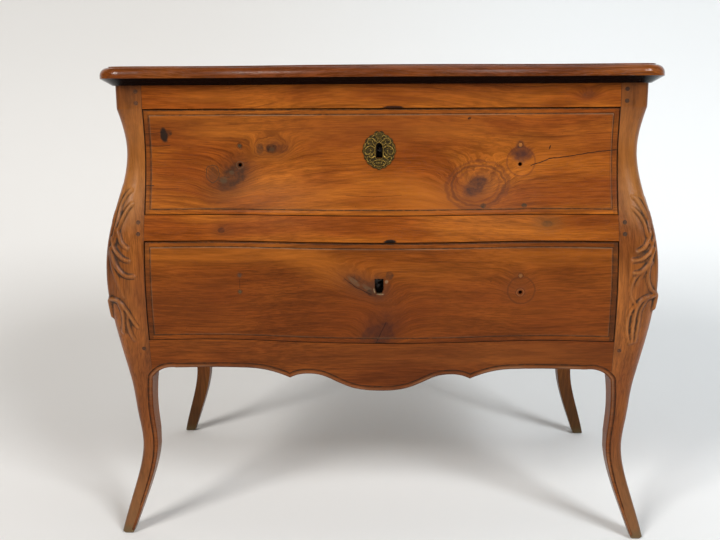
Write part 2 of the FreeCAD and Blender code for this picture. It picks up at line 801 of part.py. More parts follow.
# ---------------------------------------------------------------- drawers
def tail(y_root, y_tip, z_mid, x0, x1):
    """One dovetail, wider at its tip, lying along Y."""
    root = TAIL_H / 2
    tip = root + TAIL_FLARE
    points = [
        V(x0, y_root, z_mid - root),
        V(x0, y_tip, z_mid - tip),
        V(x0, y_tip, z_mid + tip),
        V(x0, y_root, z_mid + root),
    ]
    wire = Part.makePolygon([*points, points[0]])
    return Part.Face(wire).extrude(V(x1 - x0, 0, 0))


def tail_levels(z0, z1):
    """Centres of a drawer side's dovetails."""
    pitch = (z1 - z0) / TAIL_COUNT
    return [z0 + pitch * (index + 0.5) for index in range(TAIL_COUNT)]


def behind_front(plank, z0, z1, forward=0.0):
    """What a plank keeps behind a drawer front, or behind a line some way forward in its thickness."""
    slab = front_slab(z0, z1, -POST_IN, POST_IN, FRONT_T, -forward)
    return max(plank.cut(slab).Solids, key=lambda s: s.BoundBox.YMax)


def drawer_side(z0, z1):
    """The right-hand side: dovetailed into the front board and through the back."""
    x1 = DRAWER_HALF
    x0 = x1 - DRAWER_SIDE_T
    y_join = DRAWER_BACK_Y - DRAWER_BACK_T
    low = z0 + RUN_GAP
    high = z1 - SIDE_TOP_DROP
    side = behind_front(box(x0, x1, FRONT - REACH, y_join, low, high), z0, z1)
    parts = [side]
    for z in tail_levels(low, high):
        seat = front_y(x1, z) + FRONT_T
        parts.append(tail(seat + TAIL_ROOT, seat - TAIL_L, z, x0, x1))
        parts.append(tail(y_join - TAIL_ROOT, DRAWER_BACK_Y, z, x0, x1))
    return joined(parts)


def drawer_bottom(z0, z1):
    """The bottom panel: in grooves at the front and sides, and nailed up under the back."""
    half = DRAWER_HALF - DRAWER_SIDE_T + BOTTOM_GROOVE
    low = z0 + BOTTOM_RISE
    panel = box(-half, half, FRONT - REACH, DRAWER_BACK_Y, low, low + BOTTOM_T)
    return behind_front(panel, z0, z1, BOTTOM_GROOVE)


def bottom_nails(z0):
    """Nails up through the bottom into the drawer back, as places on one line."""
    low = z0 + BOTTOM_RISE
    span = 2 * (DRAWER_HALF - DRAWER_SIDE_T - BOTTOM_NAIL_L)
    y = DRAWER_BACK_Y - DRAWER_BACK_T / 2
    nails = []
    for index in range(BOTTOM_NAIL_COUNT):
        x = -span / 2 + span * index / (BOTTOM_NAIL_COUNT - 1)
        shank = rod(BOTTOM_NAIL_D, V(x, y, low), V(x, y, low + BOTTOM_NAIL_L))
        head = rod(BOTTOM_NAIL_HEAD_D, V(x, y, low - BOTTOM_NAIL_HEAD_T), V(x, y, low))
        nails.append(joined([shank, head]))
    return nails


def pull_pair(z_top, spacing):
    """Heights of the two holes that an old pull left, upper one first."""
    return (z_top, z_top - spacing)


def pull_bore(x, z):
    """The bore of one pull hole, right through a drawer front."""
    y = front_y(x, z)
    return rod(PULL_HOLE_D, V(x, y - FRONT_T, z), V(x, y + 2 * FRONT_T, z))


def keyhole(z_mid, width, toe_width, height, round_head):
    """A keyhole's outline run through a drawer front."""
    top = z_mid + height / 2
    low = z_mid - height / 2
    y0 = FRONT - REACH
    toe = toe_width / 2
    half = width / 2
    if round_head:
        slot = box(-toe, toe, y0, FRONT + REACH, low, top - half)
        return joined([slot, rod(width, V(0, y0, top - half), V(0, FRONT + REACH, top - half))])
    points = [
        V(-toe, y0, low),
        V(toe, y0, low),
        V(half, y0, low + toe_width),
        V(half, y0, top),
        V(-half, y0, top),
        V(-half, y0, low + toe_width),
    ]
    wire = Part.makePolygon([*points, points[0]])
    return Part.Face(wire).extrude(V(0, FRONT + REACH - y0, 0))


def lock_seat(z_low, z_high):
    """The plane that a lock plate lies on: just inside the drawer front's back face everywhere."""
    rise = (z_high - z_low) / SEAT_SAMPLES
    levels = [z_low + rise * index for index in range(SEAT_SAMPLES + 1)]
    return min(front_y(0, z) for z in levels) + FRONT_T - LOCK_SEAT_GAP


def lock_pieces(z_key, z_head, seat):
    """A lock let into the back of a drawer front: its wood cut-out and its pieces."""
    low = z_key - LOCK_BELOW
    half = LOCK_W / 2
    face = seat - LOCK_DEPTH
    wide = half + LOCK_PLATE_MARGIN
    pocket = box(-half, half, face, seat, low, z_head)
    recess = box(-wide, wide, seat, FRONT + REACH, low - LOCK_PLATE_MARGIN, z_head)
    plate = box(-wide, wide, seat, seat + LOCK_PLATE_T, low - LOCK_PLATE_MARGIN, z_head)
    rim = box(-half, half, face, seat, z_head - LOCK_PLATE_T, z_head)
    bolt_y1 = seat - BOLT_GAP
    bolt_y0 = bolt_y1 - BOLT_T
    bolt_half = BOLT_W / 2
    bolt_low = z_head - BOLT_H
    bolt = box(-bolt_half, bolt_half, bolt_y0, bolt_y1, bolt_low, z_head)
    slot_half = bolt_half + BOLT_GAP
    slot = box(-slot_half, slot_half, bolt_y0 - BOLT_GAP, seat, low, z_head)
    ledge_z = bolt_low - BOLT_GAP
    ledge = box(-bolt_half, bolt_half, bolt_y0, seat, ledge_z - LOCK_PLATE_T, ledge_z)
    plate = joined([plate, rim.cut(slot), ledge])
    pin = rod(KEY_PIN_D, V(0, seat, z_key), V(0, seat - KEY_PIN_L, z_key))
    spring_x = slot_half + SPRING_T
    spring = box(
        spring_x, spring_x + SPRING_T, seat - SPRING_W, seat, bolt_low, bolt_low + SPRING_L
    )
    nails = []
    holes = []
    inset = LOCK_PLATE_MARGIN / 2
    back = seat + LOCK_PLATE_T
    for x in (-wide + inset, wide - inset):
        for z in (low - inset, z_head - LOCK_PLATE_MARGIN):
            shank = rod(LOCK_NAIL_D, V(x, back, z), V(x, seat - LOCK_NAIL_L, z))
            head = rod(LOCK_NAIL_HEAD_D, V(x, back + LOCK_NAIL_HEAD_T, z), V(x, back, z))
            nails.append(joined([shank, head]))
            holes.append(shank)
    plate = plate.cut(holes)
    return {
        "pocket": pocket.fuse([recess, *holes]),
        "lock_plate": plate,
        "lock_bolt": bolt,
        "lock_key_pin": pin,
        "lock_spring": spring,
        "lock_nails": nails,
    }


def drawer(prefix, z0, z1, key_z, hole, plugs, bores):
    """All the pieces of one drawer between an opening's floor and head."""
    head = z1 - FRONT_TOP_GAP
    foot = z0 + FRONT_BOTTOM_GAP
    board = front_slab(foot, head, -DRAWER_HALF, DRAWER_HALF, FRONT_T)
    right = drawer_side(z0, z1)
    left = mirrored(right)
    bottom = drawer_bottom(z0, z1)
    seat = lock_seat(key_z - LOCK_BELOW - LOCK_PLATE_MARGIN, head)
    lock = lock_pieces(key_z, head, seat)
    plug_bores = [pull_bore(x, z) for x, z in plugs]
    open_bores = [pull_bore(x, z) for x, z in bores]
    y_join = DRAWER_BACK_Y - DRAWER_BACK_T
    low = z0 + BOTTOM_RISE + BOTTOM_T
    back = box(-DRAWER_HALF, DRAWER_HALF, y_join, DRAWER_BACK_Y, low, z1 - BACK_TOP_DROP)
    nails = bottom_nails(z0)
    wood = board.cut([right, left, bottom, hole, lock["pocket"], *open_bores])
    plug_solids = []
    for (x, z), bore in zip(plugs, plug_bores):
        y = front_y(x, z)
        beside = PULL_HOLE_D
        deep = box(x - beside, x + beside, y - FRONT_T, y + PULL_PLUG_L, z - beside, z + beside)
        plug_solids.append(bore.common(deep).common(board))
    wood = wood.cut(plug_solids)
    pieces = {
        prefix + "_drawer_front": wood,
        prefix + "_drawer_right_side": right.cut(bottom),
        prefix + "_drawer_left_side": left.cut(bottom),
        prefix + "_drawer_back": back.cut([right, left, *nails]),
        prefix + "_drawer_bottom": bottom.cut(nails),
        prefix + "_drawer_bottom_nails": nails,
        prefix + "_pull_hole_plugs": plug_solids,
        prefix + "_lock_plate": lock["lock_plate"],
        prefix + "_lock_bolt": lock["lock_bolt"],
        prefix + "_lock_key_pin": lock["lock_key_pin"],
        prefix + "_lock_spring": lock["lock_spring"],
        prefix + "_lock_nails": lock["lock_nails"],
    }
    return pieces, seat


# ---------------------------------------------------------------- escutcheon
def escutcheon_outline(y):
    """The scalloped oval of the escutcheon, as a face in the XZ plane around its centre."""
    count = 2 * ESCUTCHEON_LOBES
    points = []
    for index in range(count):
        turn = 2 * math.pi * index / count
        dip = ESCUTCHEON_LOBE_DEPTH * (index % 2)
        x = (ESCUTCHEON_W / 2 - dip) * math.sin(turn)
        z = (ESCUTCHEON_H / 2 - dip) * math.cos(turn)
        points.append(V(x, y, z))
    curve = Part.BSplineCurve()
    curve.interpolate(points, PeriodicFlag=True)
    return Part.Face(Part.Wire(curve.toShape()))


def escutcheon(z_mid, hole):
    """The brass plate, bent to the drawer front, with its keyhole, and the pins that hold it."""
    half_w = ESCUTCHEON_W / 2 + ESCUTCHEON_T
    half_h = ESCUTCHEON_H / 2 + ESCUTCHEON_T
    proud = ESCUTCHEON_T + ESCUTCHEON_GAP
    skin = front_slab(z_mid - half_h, z_mid + half_h, -half_w, half_w, ESCUTCHEON_T, -proud)
    face = escutcheon_outline(FRONT - REACH)
    face.translate(V(0, 0, z_mid))
    plate = skin.common(face.extrude(V(0, 2 * REACH, 0))).cut(hole)
    pins = []
    for rise in (ESCUTCHEON_H / 2 - ESCUTCHEON_PIN_INSET, ESCUTCHEON_PIN_INSET - ESCUTCHEON_H / 2):
        z = z_mid + rise
        y = front_y(0, z) - proud
        shank = rod(ESCUTCHEON_PIN_D, V(0, y, z), V(0, y + ESCUTCHEON_PIN_L, z))
        crown = V(0, y - ESCUTCHEON_PIN_HEAD_T, z)
        head = rod(ESCUTCHEON_PIN_HEAD_D, crown, V(0, y + ESCUTCHEON_PIN_SINK, z))
        pins.append(joined([shank, head]))
    return plate.cut(pins), pins


# ---------------------------------------------------------------- assembly
def case_pieces(seats):
    """The frame, panels, pegs and drawer runners."""
    front_post = post_solid(rear=False)
    rear_post = post_solid(rear=True)
    top_rail = front_rail(Z_KINK, Z_TOP, RAIL_T)
    mid_rail = front_rail(Z_MID, Z_UPPER, RAIL_T)
    apron = front_apron()
    right_top_rail = side_top_rail()
    right_panel = side_panel()
    right_apron = side_apron()
    rear_top_rail = back_rail(Z_KINK, Z_TOP)
    rear_bottom_rail = back_rail(Z_LOWER - BACK_BOTTOM_RAIL_H, Z_LOWER)
    boards = back_boards()
    pegs_front = front_pegs(front_post)
    pegs_side = side_pegs((front_post, rear_post))
    pegs_back = back_pegs()
    pegs = pegs_front + pegs_side + pegs_back
    left_pegs = [mirrored(p) for p in pegs]
    front_fits = [top_rail, mid_rail, apron, right_top_rail, right_panel, right_apron]
    rear_fits = [rear_top_rail, rear_bottom_rail, *boards, right_top_rail, right_panel, right_apron]
    front_post = front_post.cut(front_fits + pegs_front + pegs_side)
    rear_post = rear_post.cut(rear_fits + pegs_side + pegs_back)
    top_rail = top_rail.cut([*pegs_front, *left_pegs, lock_mortise(Z_KINK, seats["upper"])])
    mid_rail = mid_rail.cut([*pegs_front, *left_pegs, lock_mortise(Z_MID, seats["lower"])])
    apron = apron.cut(pegs_front + left_pegs)
    rear_top_rail = rear_top_rail.cut(boards + pegs_back + left_pegs)
    rear_bottom_rail = rear_bottom_rail.cut(boards + pegs_back + left_pegs)
    lower_runner, lower_guide = runners_and_guides(Z_LOWER, LOWER_RUNNER_T, apron, BACK_RAIL_FRONT)
    upper_runner, upper_guide = runners_and_guides(Z_UPPER, MID_RAIL_H, mid_rail, BOARD_FRONT)
    pairs = {
        "front_post": front_post,
        "rear_post": rear_post,
        "side_top_rail": right_top_rail.cut(pegs_side),
        "side_panel": right_panel,
        "side_apron": right_apron.cut(pegs_side),
        "lower_runner": lower_runner,
        "lower_guide": lower_guide,
        "upper_runner": upper_runner,
        "upper_guide": upper_guide,
        "kicker": kicker(top_rail),
    }
    pieces = {
        "top_board": top_board(),
        "upper_front_rail": top_rail,
        "middle_front_rail": mid_rail,
        "front_apron": apron,
        "back_top_rail": rear_top_rail,
        "back_bottom_rail": rear_bottom_rail,
        "frame_pegs": pegs + left_pegs,
        "drawer_stops": drawer_stops(),
        "top_glue_blocks": top_blocks(),
    }
    for name, board in zip(("lower", "middle", "upper"), boards):
        pieces["back_board_" + name] = board
    for name, shape in pairs.items():
        pieces["right_" + name] = shape
        pieces["left_" + name] = mirrored(shape)
    return pieces


def all_pieces():
    """Every piece of the chest by name."""
    upper_key_z = Z_KINK - KEYHOLE_DROP
    lower_key_z = Z_MID - LOWER_KEYHOLE_DROP
    upper_hole = keyhole(upper_key_z, KEYHOLE_W, KEYHOLE_W, KEYHOLE_H, True)
    lower_hole = keyhole(lower_key_z, WORN_KEYHOLE_W, WORN_KEYHOLE_TOE_W, WORN_KEYHOLE_H, False)
    upper_pair = pull_pair(Z_KINK - UPPER_PULL_DROP, UPPER_PULL_SPACING)
    lower_pair = pull_pair(Z_MID - LOWER_PULL_DROP, LOWER_PULL_SPACING)
    upper_plugs = [(-PULL_X, upper_pair[0]), (PULL_X, upper_pair[0])]
    upper_bores = [(-PULL_X, upper_pair[1]), (PULL_X, upper_pair[1])]
    lower_plugs = [(-PULL_X, lower_pair[0]), (-PULL_X, lower_pair[1]), (PULL_X, lower_pair[0])]
    lower_bores = [(PULL_X, lower_pair[1])]
    plate, pins = escutcheon(upper_key_z, upper_hole)
    upper, upper_seat = drawer(
        "upper", Z_UPPER, Z_KINK, upper_key_z, upper_hole.fuse(pins), upper_plugs, upper_bores
    )
    lower, lower_seat = drawer(
        "lower", Z_LOWER, Z_MID, lower_key_z, lower_hole, lower_plugs, lower_bores
    )
    pieces = case_pieces({"upper": upper_seat, "lower": lower_seat})
    pieces.update(upper)
    pieces.update(lower)
    pieces["upper_escutcheon"] = plate
    pieces["upper_escutcheon_pins"] = pins
    return pieces


def main():
    """Write one STEP file for each piece."""
    os.makedirs("parts", exist_ok=True)
    for name, shape in all_pieces().items():
        solids = shape if isinstance(shape, list) else [shape]
        whole = Part.makeCompound([s for part in solids for s in part.Solids])
        whole.exportStep("parts/" + name + ".step")
        size = whole.BoundBox
        print(
            f"{name}: {len(whole.Solids)} solid(s), valid {whole.isValid()}, {whole.Volume / 1000:.1f} cm3, "
            f"{size.XLength:.1f} x {size.YLength:.1f} x {size.ZLength:.1f}"
        )


if __name__ == "__main__":
    main()
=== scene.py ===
"""Bombe chest of two drawers: finishes, worked drawer faces, carving, brass and studio."""
import logging
import math
from dataclasses import dataclass, replace
from enum import Enum
from functools import cache
from typing import Sequence

import bmesh
import bpy
import numpy as np
from mathutils import Matrix, Vector


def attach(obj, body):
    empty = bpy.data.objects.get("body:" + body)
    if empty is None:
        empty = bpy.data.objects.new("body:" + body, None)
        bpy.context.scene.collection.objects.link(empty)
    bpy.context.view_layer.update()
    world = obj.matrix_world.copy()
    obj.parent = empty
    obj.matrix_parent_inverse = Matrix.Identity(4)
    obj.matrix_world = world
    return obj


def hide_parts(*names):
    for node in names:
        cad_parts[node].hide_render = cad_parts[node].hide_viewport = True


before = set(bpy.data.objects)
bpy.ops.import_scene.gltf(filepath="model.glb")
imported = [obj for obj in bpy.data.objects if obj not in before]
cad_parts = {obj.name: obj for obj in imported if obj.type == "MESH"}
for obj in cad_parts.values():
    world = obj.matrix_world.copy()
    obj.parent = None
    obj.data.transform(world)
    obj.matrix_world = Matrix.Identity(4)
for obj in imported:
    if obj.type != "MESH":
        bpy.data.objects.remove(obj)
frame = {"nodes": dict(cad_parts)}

LOG = logging.getLogger("bombe_chest")
MM = 0.001

Colour = tuple[float, float, float]
Point = tuple[float, float]
Object = bpy.types.Object
Material = bpy.types.Material
Node = bpy.types.Node
Socket = bpy.types.NodeSocket
Outputs = bpy.types.NodeOutputs
Value = Socket | float


# ------------------------------------------------------------------ the chest's own curves
class Spline:
    """A smooth curve through stations, straight-ended."""

    def __init__(self, stations: Sequence[Point]) -> None:
        """Solves the curve through places and values, places rising."""
        self.at, self.value = np.array(stations, float).T
        gap = np.diff(self.at)
        slope = np.diff(self.value) / gap
        count = len(self.at)
        table, right = np.eye(count), np.zeros(count)
        for i in range(1, count - 1):
            table[i, i - 1 : i + 2] = gap[i - 1], 2 * (gap[i - 1] + gap[i]), gap[i]
            right[i] = 6 * (slope[i] - slope[i - 1])
        self.bend = np.linalg.solve(table, right)

    def __call__(self, place: float | np.ndarray) -> np.ndarray:
        """The curve's value at a place, or at each of several."""
        place = np.clip(np.asarray(place, float), self.at[0], self.at[-1])
        i = np.clip(np.searchsorted(self.at, place) - 1, 0, len(self.at) - 2)
        gap = self.at[i + 1] - self.at[i]
        a = (self.at[i + 1] - place) / gap
        b = 1 - a
        curl = ((a**3 - a) * self.bend[i] + (b**3 - b) * self.bend[i + 1]) * gap**2 / 6
        return a * self.value[i] + b * self.value[i + 1] + curl


def both_sides(*right: Point) -> Spline:
    """A curve that is the same on both sides of the middle, from its right-hand stations."""
    return Spline([(-x, value) for x, value in right[:0:-1]] + list(right))


LEVELS = (0, 76, 168, 226.75, 285.5, 325.5, 412.5, 504.5, 594.5, 677.5, 741, 786, 811)
BOMBE = (15.3, -4.2, -20.6, -14.2, -7.4, 0.3, 17.6, 26.3, 16.7, -3.5, -9.8, -4.4, -0.7)
CORNER = (10, 12, 14, 17, 20, 24, 32, 34, 34, 34, 34, 30, 18)


@dataclass(frozen=True)
class Case:
    """The case's levels and lines in millimetres, the same as the solids'."""

    apron_z: float = 325.5
    lower_z: float = 382.5
    middle_z: float = 571.5
    upper_z: float = 617.5
    kink_z: float = 811.0
    half_w: float = 483.0
    post_in: float = 431.0
    front: float = -259.1
    side_gap: float = 1.5
    head_gap: float = 2.0
    foot_gap: float = 1.2
    bombe: Spline = Spline(list(zip(LEVELS, BOMBE)))
    corner: Spline = Spline(list(zip(LEVELS, CORNER)))
    serpentine: Spline = both_sides((0, 18.8), (150, 9), (305, -8), (431, 0), (483, 0))
    leg: Spline = Spline(((0, 44.7), (76, 18.8), (168, -0.4), (226.75, 2.5), (285.5, 2), (306, 0)))
    apron_fall: Spline = both_sides(
        (0, 38.5), (55, 31.5), (82, 20), (108, 9), (132, 6.5), (151, 9), (168.5, 16.5)
    )

    def front_y(self, x: np.ndarray | float, z: np.ndarray | float) -> np.ndarray:
        """The front surface's y at a place."""
        return self.front - self.bombe(z) - self.serpentine(x)


CASE = Case()


# ------------------------------------------------------------------ meshes
def as_object(
    name: str, bm: bmesh.types.BMesh, material: Material | None = None, smooth: bool = True
) -> Object:
    """Makes an object of a bmesh, at the origin.

    Args:
        name: the object's name.
        bm: the finished bmesh, freed here.
        material: its finish.
        smooth: whether its faces shade smoothly.

    Returns:
        The object.
    """
    mesh = bpy.data.meshes.new(name)
    bm.to_mesh(mesh)
    bm.free()
    for polygon in mesh.polygons:
        polygon.use_smooth = smooth
    if material:
        mesh.materials.append(material)
    made = bpy.data.objects.new(name, mesh)
    bpy.context.scene.collection.objects.link(made)
    return made


class Skin:
    """A worked surface: a grid laid on the chest by a placing rule and given a back."""

    def __init__(self, name: str, across: Sequence[float], up: Sequence[float]) -> None:
        """Starts the grid at its stations along each way."""
        self.name = name
        self.u, self.v = np.meshgrid(np.array(across, float), np.array(up, float), indexing="ij")
        # Per station: a dark share (dirt and painted shade) and a pale share (wear and painted highlights),
        # stored on the mesh for the finish.
        self.dirt_and_shade = self.wear_and_highlight = np.zeros_like(self.u)

    def lay(
        self, face: Sequence[np.ndarray], back: Sequence[np.ndarray], material: Material | None = None,
        keep: np.ndarray | None = None, ring: bool = False,
    ) -> Object:
        """Puts the face and its back in place.

        Args:
            face: the face's x, y and z in millimetres, one for each pair of stations.
            back: those of the surface behind it.
            material: its finish.
            keep: where the surface is kept, for one that has an outline of its own.
            ring: whether the first and last stations meet.

        Returns:
            The closed piece.
        """
        face, back = np.stack(face, 2), np.stack(back, 2)
        bm = bmesh.new()
        nu, nv = self.u.shape
        bmesh.ops.create_grid(bm, x_segments=nu - 1, y_segments=nv - 1, size=1.0)
        floats = bm.verts.layers.float
        behind = [floats.new("behind_" + axis) for axis in "xyz"]
        dirt_and_shade, wear_and_highlight = floats.new("dirt_and_shade"), floats.new("wear_and_highlight")
        lost = []
        for vert in bm.verts:
            i = int(round((vert.co.x + 1) / 2 * (nu - 1)))
            j = int(round((vert.co.y + 1) / 2 * (nv - 1)))
            vert.co = Vector(face[i, j]) * MM
            for layer, value in zip(behind, back[i, j]):
                vert[layer] = value * MM
            vert[dirt_and_shade], vert[wear_and_highlight] = float(self.dirt_and_shade[i, j]), float(self.wear_and_highlight[i, j])
            if keep is not None and not keep[i, j]:
                lost.append(vert)
        if lost:
            bmesh.ops.delete(bm, geom=lost, context="VERTS")
        if ring:
            bmesh.ops.remove_doubles(bm, verts=list(bm.verts), dist=1e-6)
        made = bmesh.ops.extrude_face_region(bm, geom=list(bm.faces), use_keep_orig=True)
        for vert in made["geom"]:
            if isinstance(vert, bmesh.types.BMVert):
                vert.co = Vector([vert[layer] for layer in behind])
        for axis in "xyz":
            floats.remove(floats["behind_" + axis])
        bmesh.ops.recalc_face_normals(bm, faces=list(bm.faces))
        return as_object(self.name, bm, material)


def cut_away(piece: Object, cutters: Sequence[Object]) -> None:
    """Cuts each cutter out of a piece and removes the cutters."""
    for cutter in cutters:
        cut = piece.modifiers.new("cut", "BOOLEAN")
        cut.operation, cut.solver, cut.object = "DIFFERENCE", "EXACT", cutter
        bpy.context.view_layer.update()
        graph = bpy.context.evaluated_depsgraph_get()
        fresh = bpy.data.meshes.new_from_object(piece.evaluated_get(graph))
        piece.modifiers.clear()
        old = piece.data
        piece.data = fresh
        bpy.data.meshes.remove(old)
        bpy.data.objects.remove(cutter)


def at(x: float, y: float, z: float) -> Matrix:
    """A placing, from millimetres."""
    return Matrix.Translation(Vector((x, y, z)) * MM)


def lying(sign: int = 1) -> Matrix:
    """A turn that lays an upright rod along Y."""
    return Matrix.Rotation(sign * math.pi / 2, 4, "X")


def add_rod(bm: bmesh.types.BMesh, place: Matrix, wide: Point, length: float, sides: int) -> None:
    """Adds a capped rod or taper to a bmesh.

    Args:
        bm: the bmesh.
        place: the rod's middle, its axis along Z.
        wide: its diameters at the two ends, in millimetres.
        length: its length.
        sides: how many sides it has.
    """
    ends = {"radius1": wide[0] / 2 * MM, "radius2": wide[1] / 2 * MM}
    bmesh.ops.create_cone(bm, cap_ends=True, segments=sides, depth=length * MM, matrix=place, **ends)


def run_out(bm: bmesh.types.BMesh, made: dict, way: Sequence[float]) -> None:
    """Moves what was just extruded by some millimetres and turns all faces outward."""
    moved = [part for part in made["geom"] if isinstance(part, bmesh.types.BMVert)]
    bmesh.ops.translate(bm, vec=Vector(way) * MM, verts=moved)
    bmesh.ops.recalc_face_normals(bm, faces=list(bm.faces))


def drill(x: float, z: float, y: float, mouth: float, throat: float) -> Object:
    """A worn hole's cutter: a short taper at the surface and a straight bore behind it.

    Args:
        x: the hole's place across, in millimetres.
        z: its height.
        y: the surface there.
        mouth: diameter at the surface.
        throat: diameter of the bore.

    Returns:
        The cutter.
    """
    bm = bmesh.new()
    waist = 1.2
    rings = ((-2.0, mouth + 2.2), (waist, throat), (9.0, throat))
    for (y0, d0), (y1, d1) in zip(rings, rings[1:]):
        add_rod(bm, at(x, y + (y0 + y1) / 2, z) @ lying(-1), (d0, d1), y1 - y0, 28)
    bmesh.ops.remove_doubles(bm, verts=list(bm.verts), dist=1e-6)
    inner = [f for f in bm.faces if len(f.verts) > 4 and abs(f.calc_center_median().y / MM - y - waist) < 0.1]
    bmesh.ops.delete(bm, geom=inner, context="FACES_ONLY")
    bmesh.ops.recalc_face_normals(bm, faces=list(bm.faces))
    return as_object("drill", bm)


def prism(outline: Sequence[Point], y0: float, y1: float) -> Object:
    """An outline in x and z run from y0 to y1, in millimetres."""
    bm = bmesh.new()
    face = bm.faces.new([bm.verts.new(Vector((x, y0, z)) * MM) for x, z in outline])
    run_out(bm, bmesh.ops.extrude_face_region(bm, geom=[face], use_keep_orig=True), (0, y1 - y0, 0))
    return as_object("prism", bm)


# ------------------------------------------------------------------ fields over a surface
def spread(low: float, high: float, step: float) -> np.ndarray:
    """Even stations between two limits."""
    return np.linspace(low, high, max(2, int(round(abs(high - low) / step)) + 1))


def blur(field: np.ndarray, reach: int, passes: int = 2) -> np.ndarray:
    """A field smoothed by a box that reaches so many stations each way."""
    span = 2 * reach + 1
    for axis in (0, 1) * passes:
        margin = [(0, 0), (0, 0)]
        margin[axis] = (reach, reach)
        total = np.insert(np.cumsum(np.pad(field, margin, mode="edge"), axis), 0, 0, axis)
        count = field.shape[axis]
        field = (total.take(range(span, span + count), axis) - total.take(range(count), axis)) / span
    return field


def step(value: np.ndarray, low: float, high: float) -> np.ndarray:
    """A soft step between two limits."""
    t = np.clip((value - low) / (high - low), 0, 1)
    return t * t * (3 - 2 * t)


def bell(value: np.ndarray, width: float, power: int = 2) -> np.ndarray:
    """One where a value is nought, falling off to its width."""
    return np.exp(-((value / width) ** power))


@dataclass(frozen=True)
class Curl:
    """One carved or cast stroke: a tapered, rounded ridge along a line."""

    line: tuple[Point, ...]
    root: float = 7.0
    tip: float = 3.0
    rise: float = 3.4
    end_rise: float = 0.55

    def mirrored(self) -> "Curl":
        """The same stroke on the other side of the middle."""
        return replace(self, line=tuple((-x, z) for x, z in self.line))

    def smooth(self, count: int = 40) -> np.ndarray:
        """Points along the stroke's smooth line."""
        knots = np.array(self.line, float)
        if len(knots) < 3:
            share = np.linspace(0, 1, count)[:, None]
            return knots[0] * (1 - share) + knots[-1] * share
        run = np.concatenate(([0], np.cumsum(np.linalg.norm(np.diff(knots, axis=0), axis=1))))
        places = np.linspace(0, run[-1], count)
        return np.stack([Spline(list(zip(run, way)))(places) for way in knots.T], 1)

    def height(self, a: np.ndarray, b: np.ndarray) -> np.ndarray:
        """The stroke's height over each place of a surface, nought away from the stroke."""
        line = self.smooth()
        best = np.zeros_like(a)
        near = np.full_like(a, 1e9)
        for k, (start, end) in enumerate(zip(line, line[1:])):
            run = end - start
            size = max(float(run @ run), 1e-9)
            t = np.clip(((a - start[0]) * run[0] + (b - start[1]) * run[1]) / size, 0, 1)
            gap = np.hypot(a - start[0] - t * run[0], b - start[1] - t * run[1])
            share = (k + t) / (len(line) - 1)
            ratio = gap / ((self.root + (self.tip - self.root) * share) / 2)
            rise = self.rise * (1 + (self.end_rise - 1) * share)
            closer = ratio < near
            near = np.where(closer, ratio, near)
            best = np.where(closer, rise * np.sqrt(np.clip(1 - ratio**2, 0, 1)), best)
        return best


# ------------------------------------------------------------------ worked pieces
@dataclass
class DrawerFace:
    """A drawer front's worked face: a raised field inside a groove and a rounded border."""

    name: str
    foot: float
    head: float
    key: tuple[Point, ...]
    open_holes: tuple[Point, ...]
    plugged: tuple[tuple[float, float, "RawWood"], ...]
    half: float = CASE.post_in - CASE.side_gap
    inset: float = 0.15
    border: float = 8.6
    groove: float = 1.7
    bead_rise: float = 1.35
    field_rise: float = 1.0
    groove_rise: float = 0.2
    hole: float = 7.0
    grime: tuple[float, float] = (0.35, 0.35)

    def build(self, material: Material) -> Object:
        """Builds the face in its finish."""
        b, g, base = self.border, self.groove, self.groove_rise
        rounding = [0, 0.35, 0.9, 1.8, 3.0, 4.3, 5.6, 6.8, 7.7, b]
        edge = np.array(rounding + [b + g * 0.3, b + g * 0.7, b + g, b + g + 1.2])
        low, high, wide = self.foot + self.inset, self.head - self.inset, self.half - self.inset
        inner = edge[-1]
        middle = spread(-wide + inner, wide - inner, 4.2)[1:-1]
        across = np.concatenate((-wide + edge, middle, wide - edge[::-1]))
        middle = spread(low + inner, high - inner, 3.6)[1:-1]
        up = np.concatenate((low + edge, middle, high - edge[::-1]))
        skin = Skin(self.name, across, up)
        x, z = skin.u, skin.v
        gap = np.minimum(np.minimum(x + wide, wide - x), np.minimum(z - low, high - z))
        bead = base + (self.bead_rise - base) * np.sqrt(np.clip(1 - ((gap - b / 2) / (b / 2)) ** 2, 0, 1))
        field = base + (self.field_rise - base) * step(gap, b + g * 0.5, b + g)
        lift = np.where(gap <= b, bead, field)
        y = CASE.front_y(x, z)
        # Painted shade with dirt: the groove and the outer edge are darkened as in shadow, and the strip
        # under the rail is made near-black for the shadow in the gap above; the ends take grime.
        grooved = np.clip(1.25 - np.abs(gap - b - g * 0.4) / (g * 0.8), 0, 1) + (gap < 0.8) * 0.6
        under_rail = 1 - step(high - z, 1.2, 2.4)
        ends = ((x + wide < b) * self.grime[0], (wide - x < b) * self.grime[1])
        skin.dirt_and_shade = np.maximum.reduce((grooved, under_rail, *ends))
        # Painted highlight with wax: a pale line along the field's edge inside the groove, stronger along the
        # top, where the light falls.
        skin.wear_and_highlight = bell(gap - b - g - 0.2, 0.6) * np.where(high - z < b + 5, 0.8, 0.35)
        face = skin.lay((x, y - lift, z), (x, y + 0.5, z))
        cutters = [prism(self.key, CASE.front - 90, CASE.front + 30)]
        for px, pz in self.open_holes + tuple((px, pz) for px, pz, _ in self.plugged):
            surface = float(CASE.front_y(px, pz)) - self.field_rise
            cutters.append(drill(px, pz, surface, self.hole + 0.6, self.hole + 0.1))
        cut_away(face, cutters)
        face.data.materials.clear()
        face.data.materials.append(material)
        return face


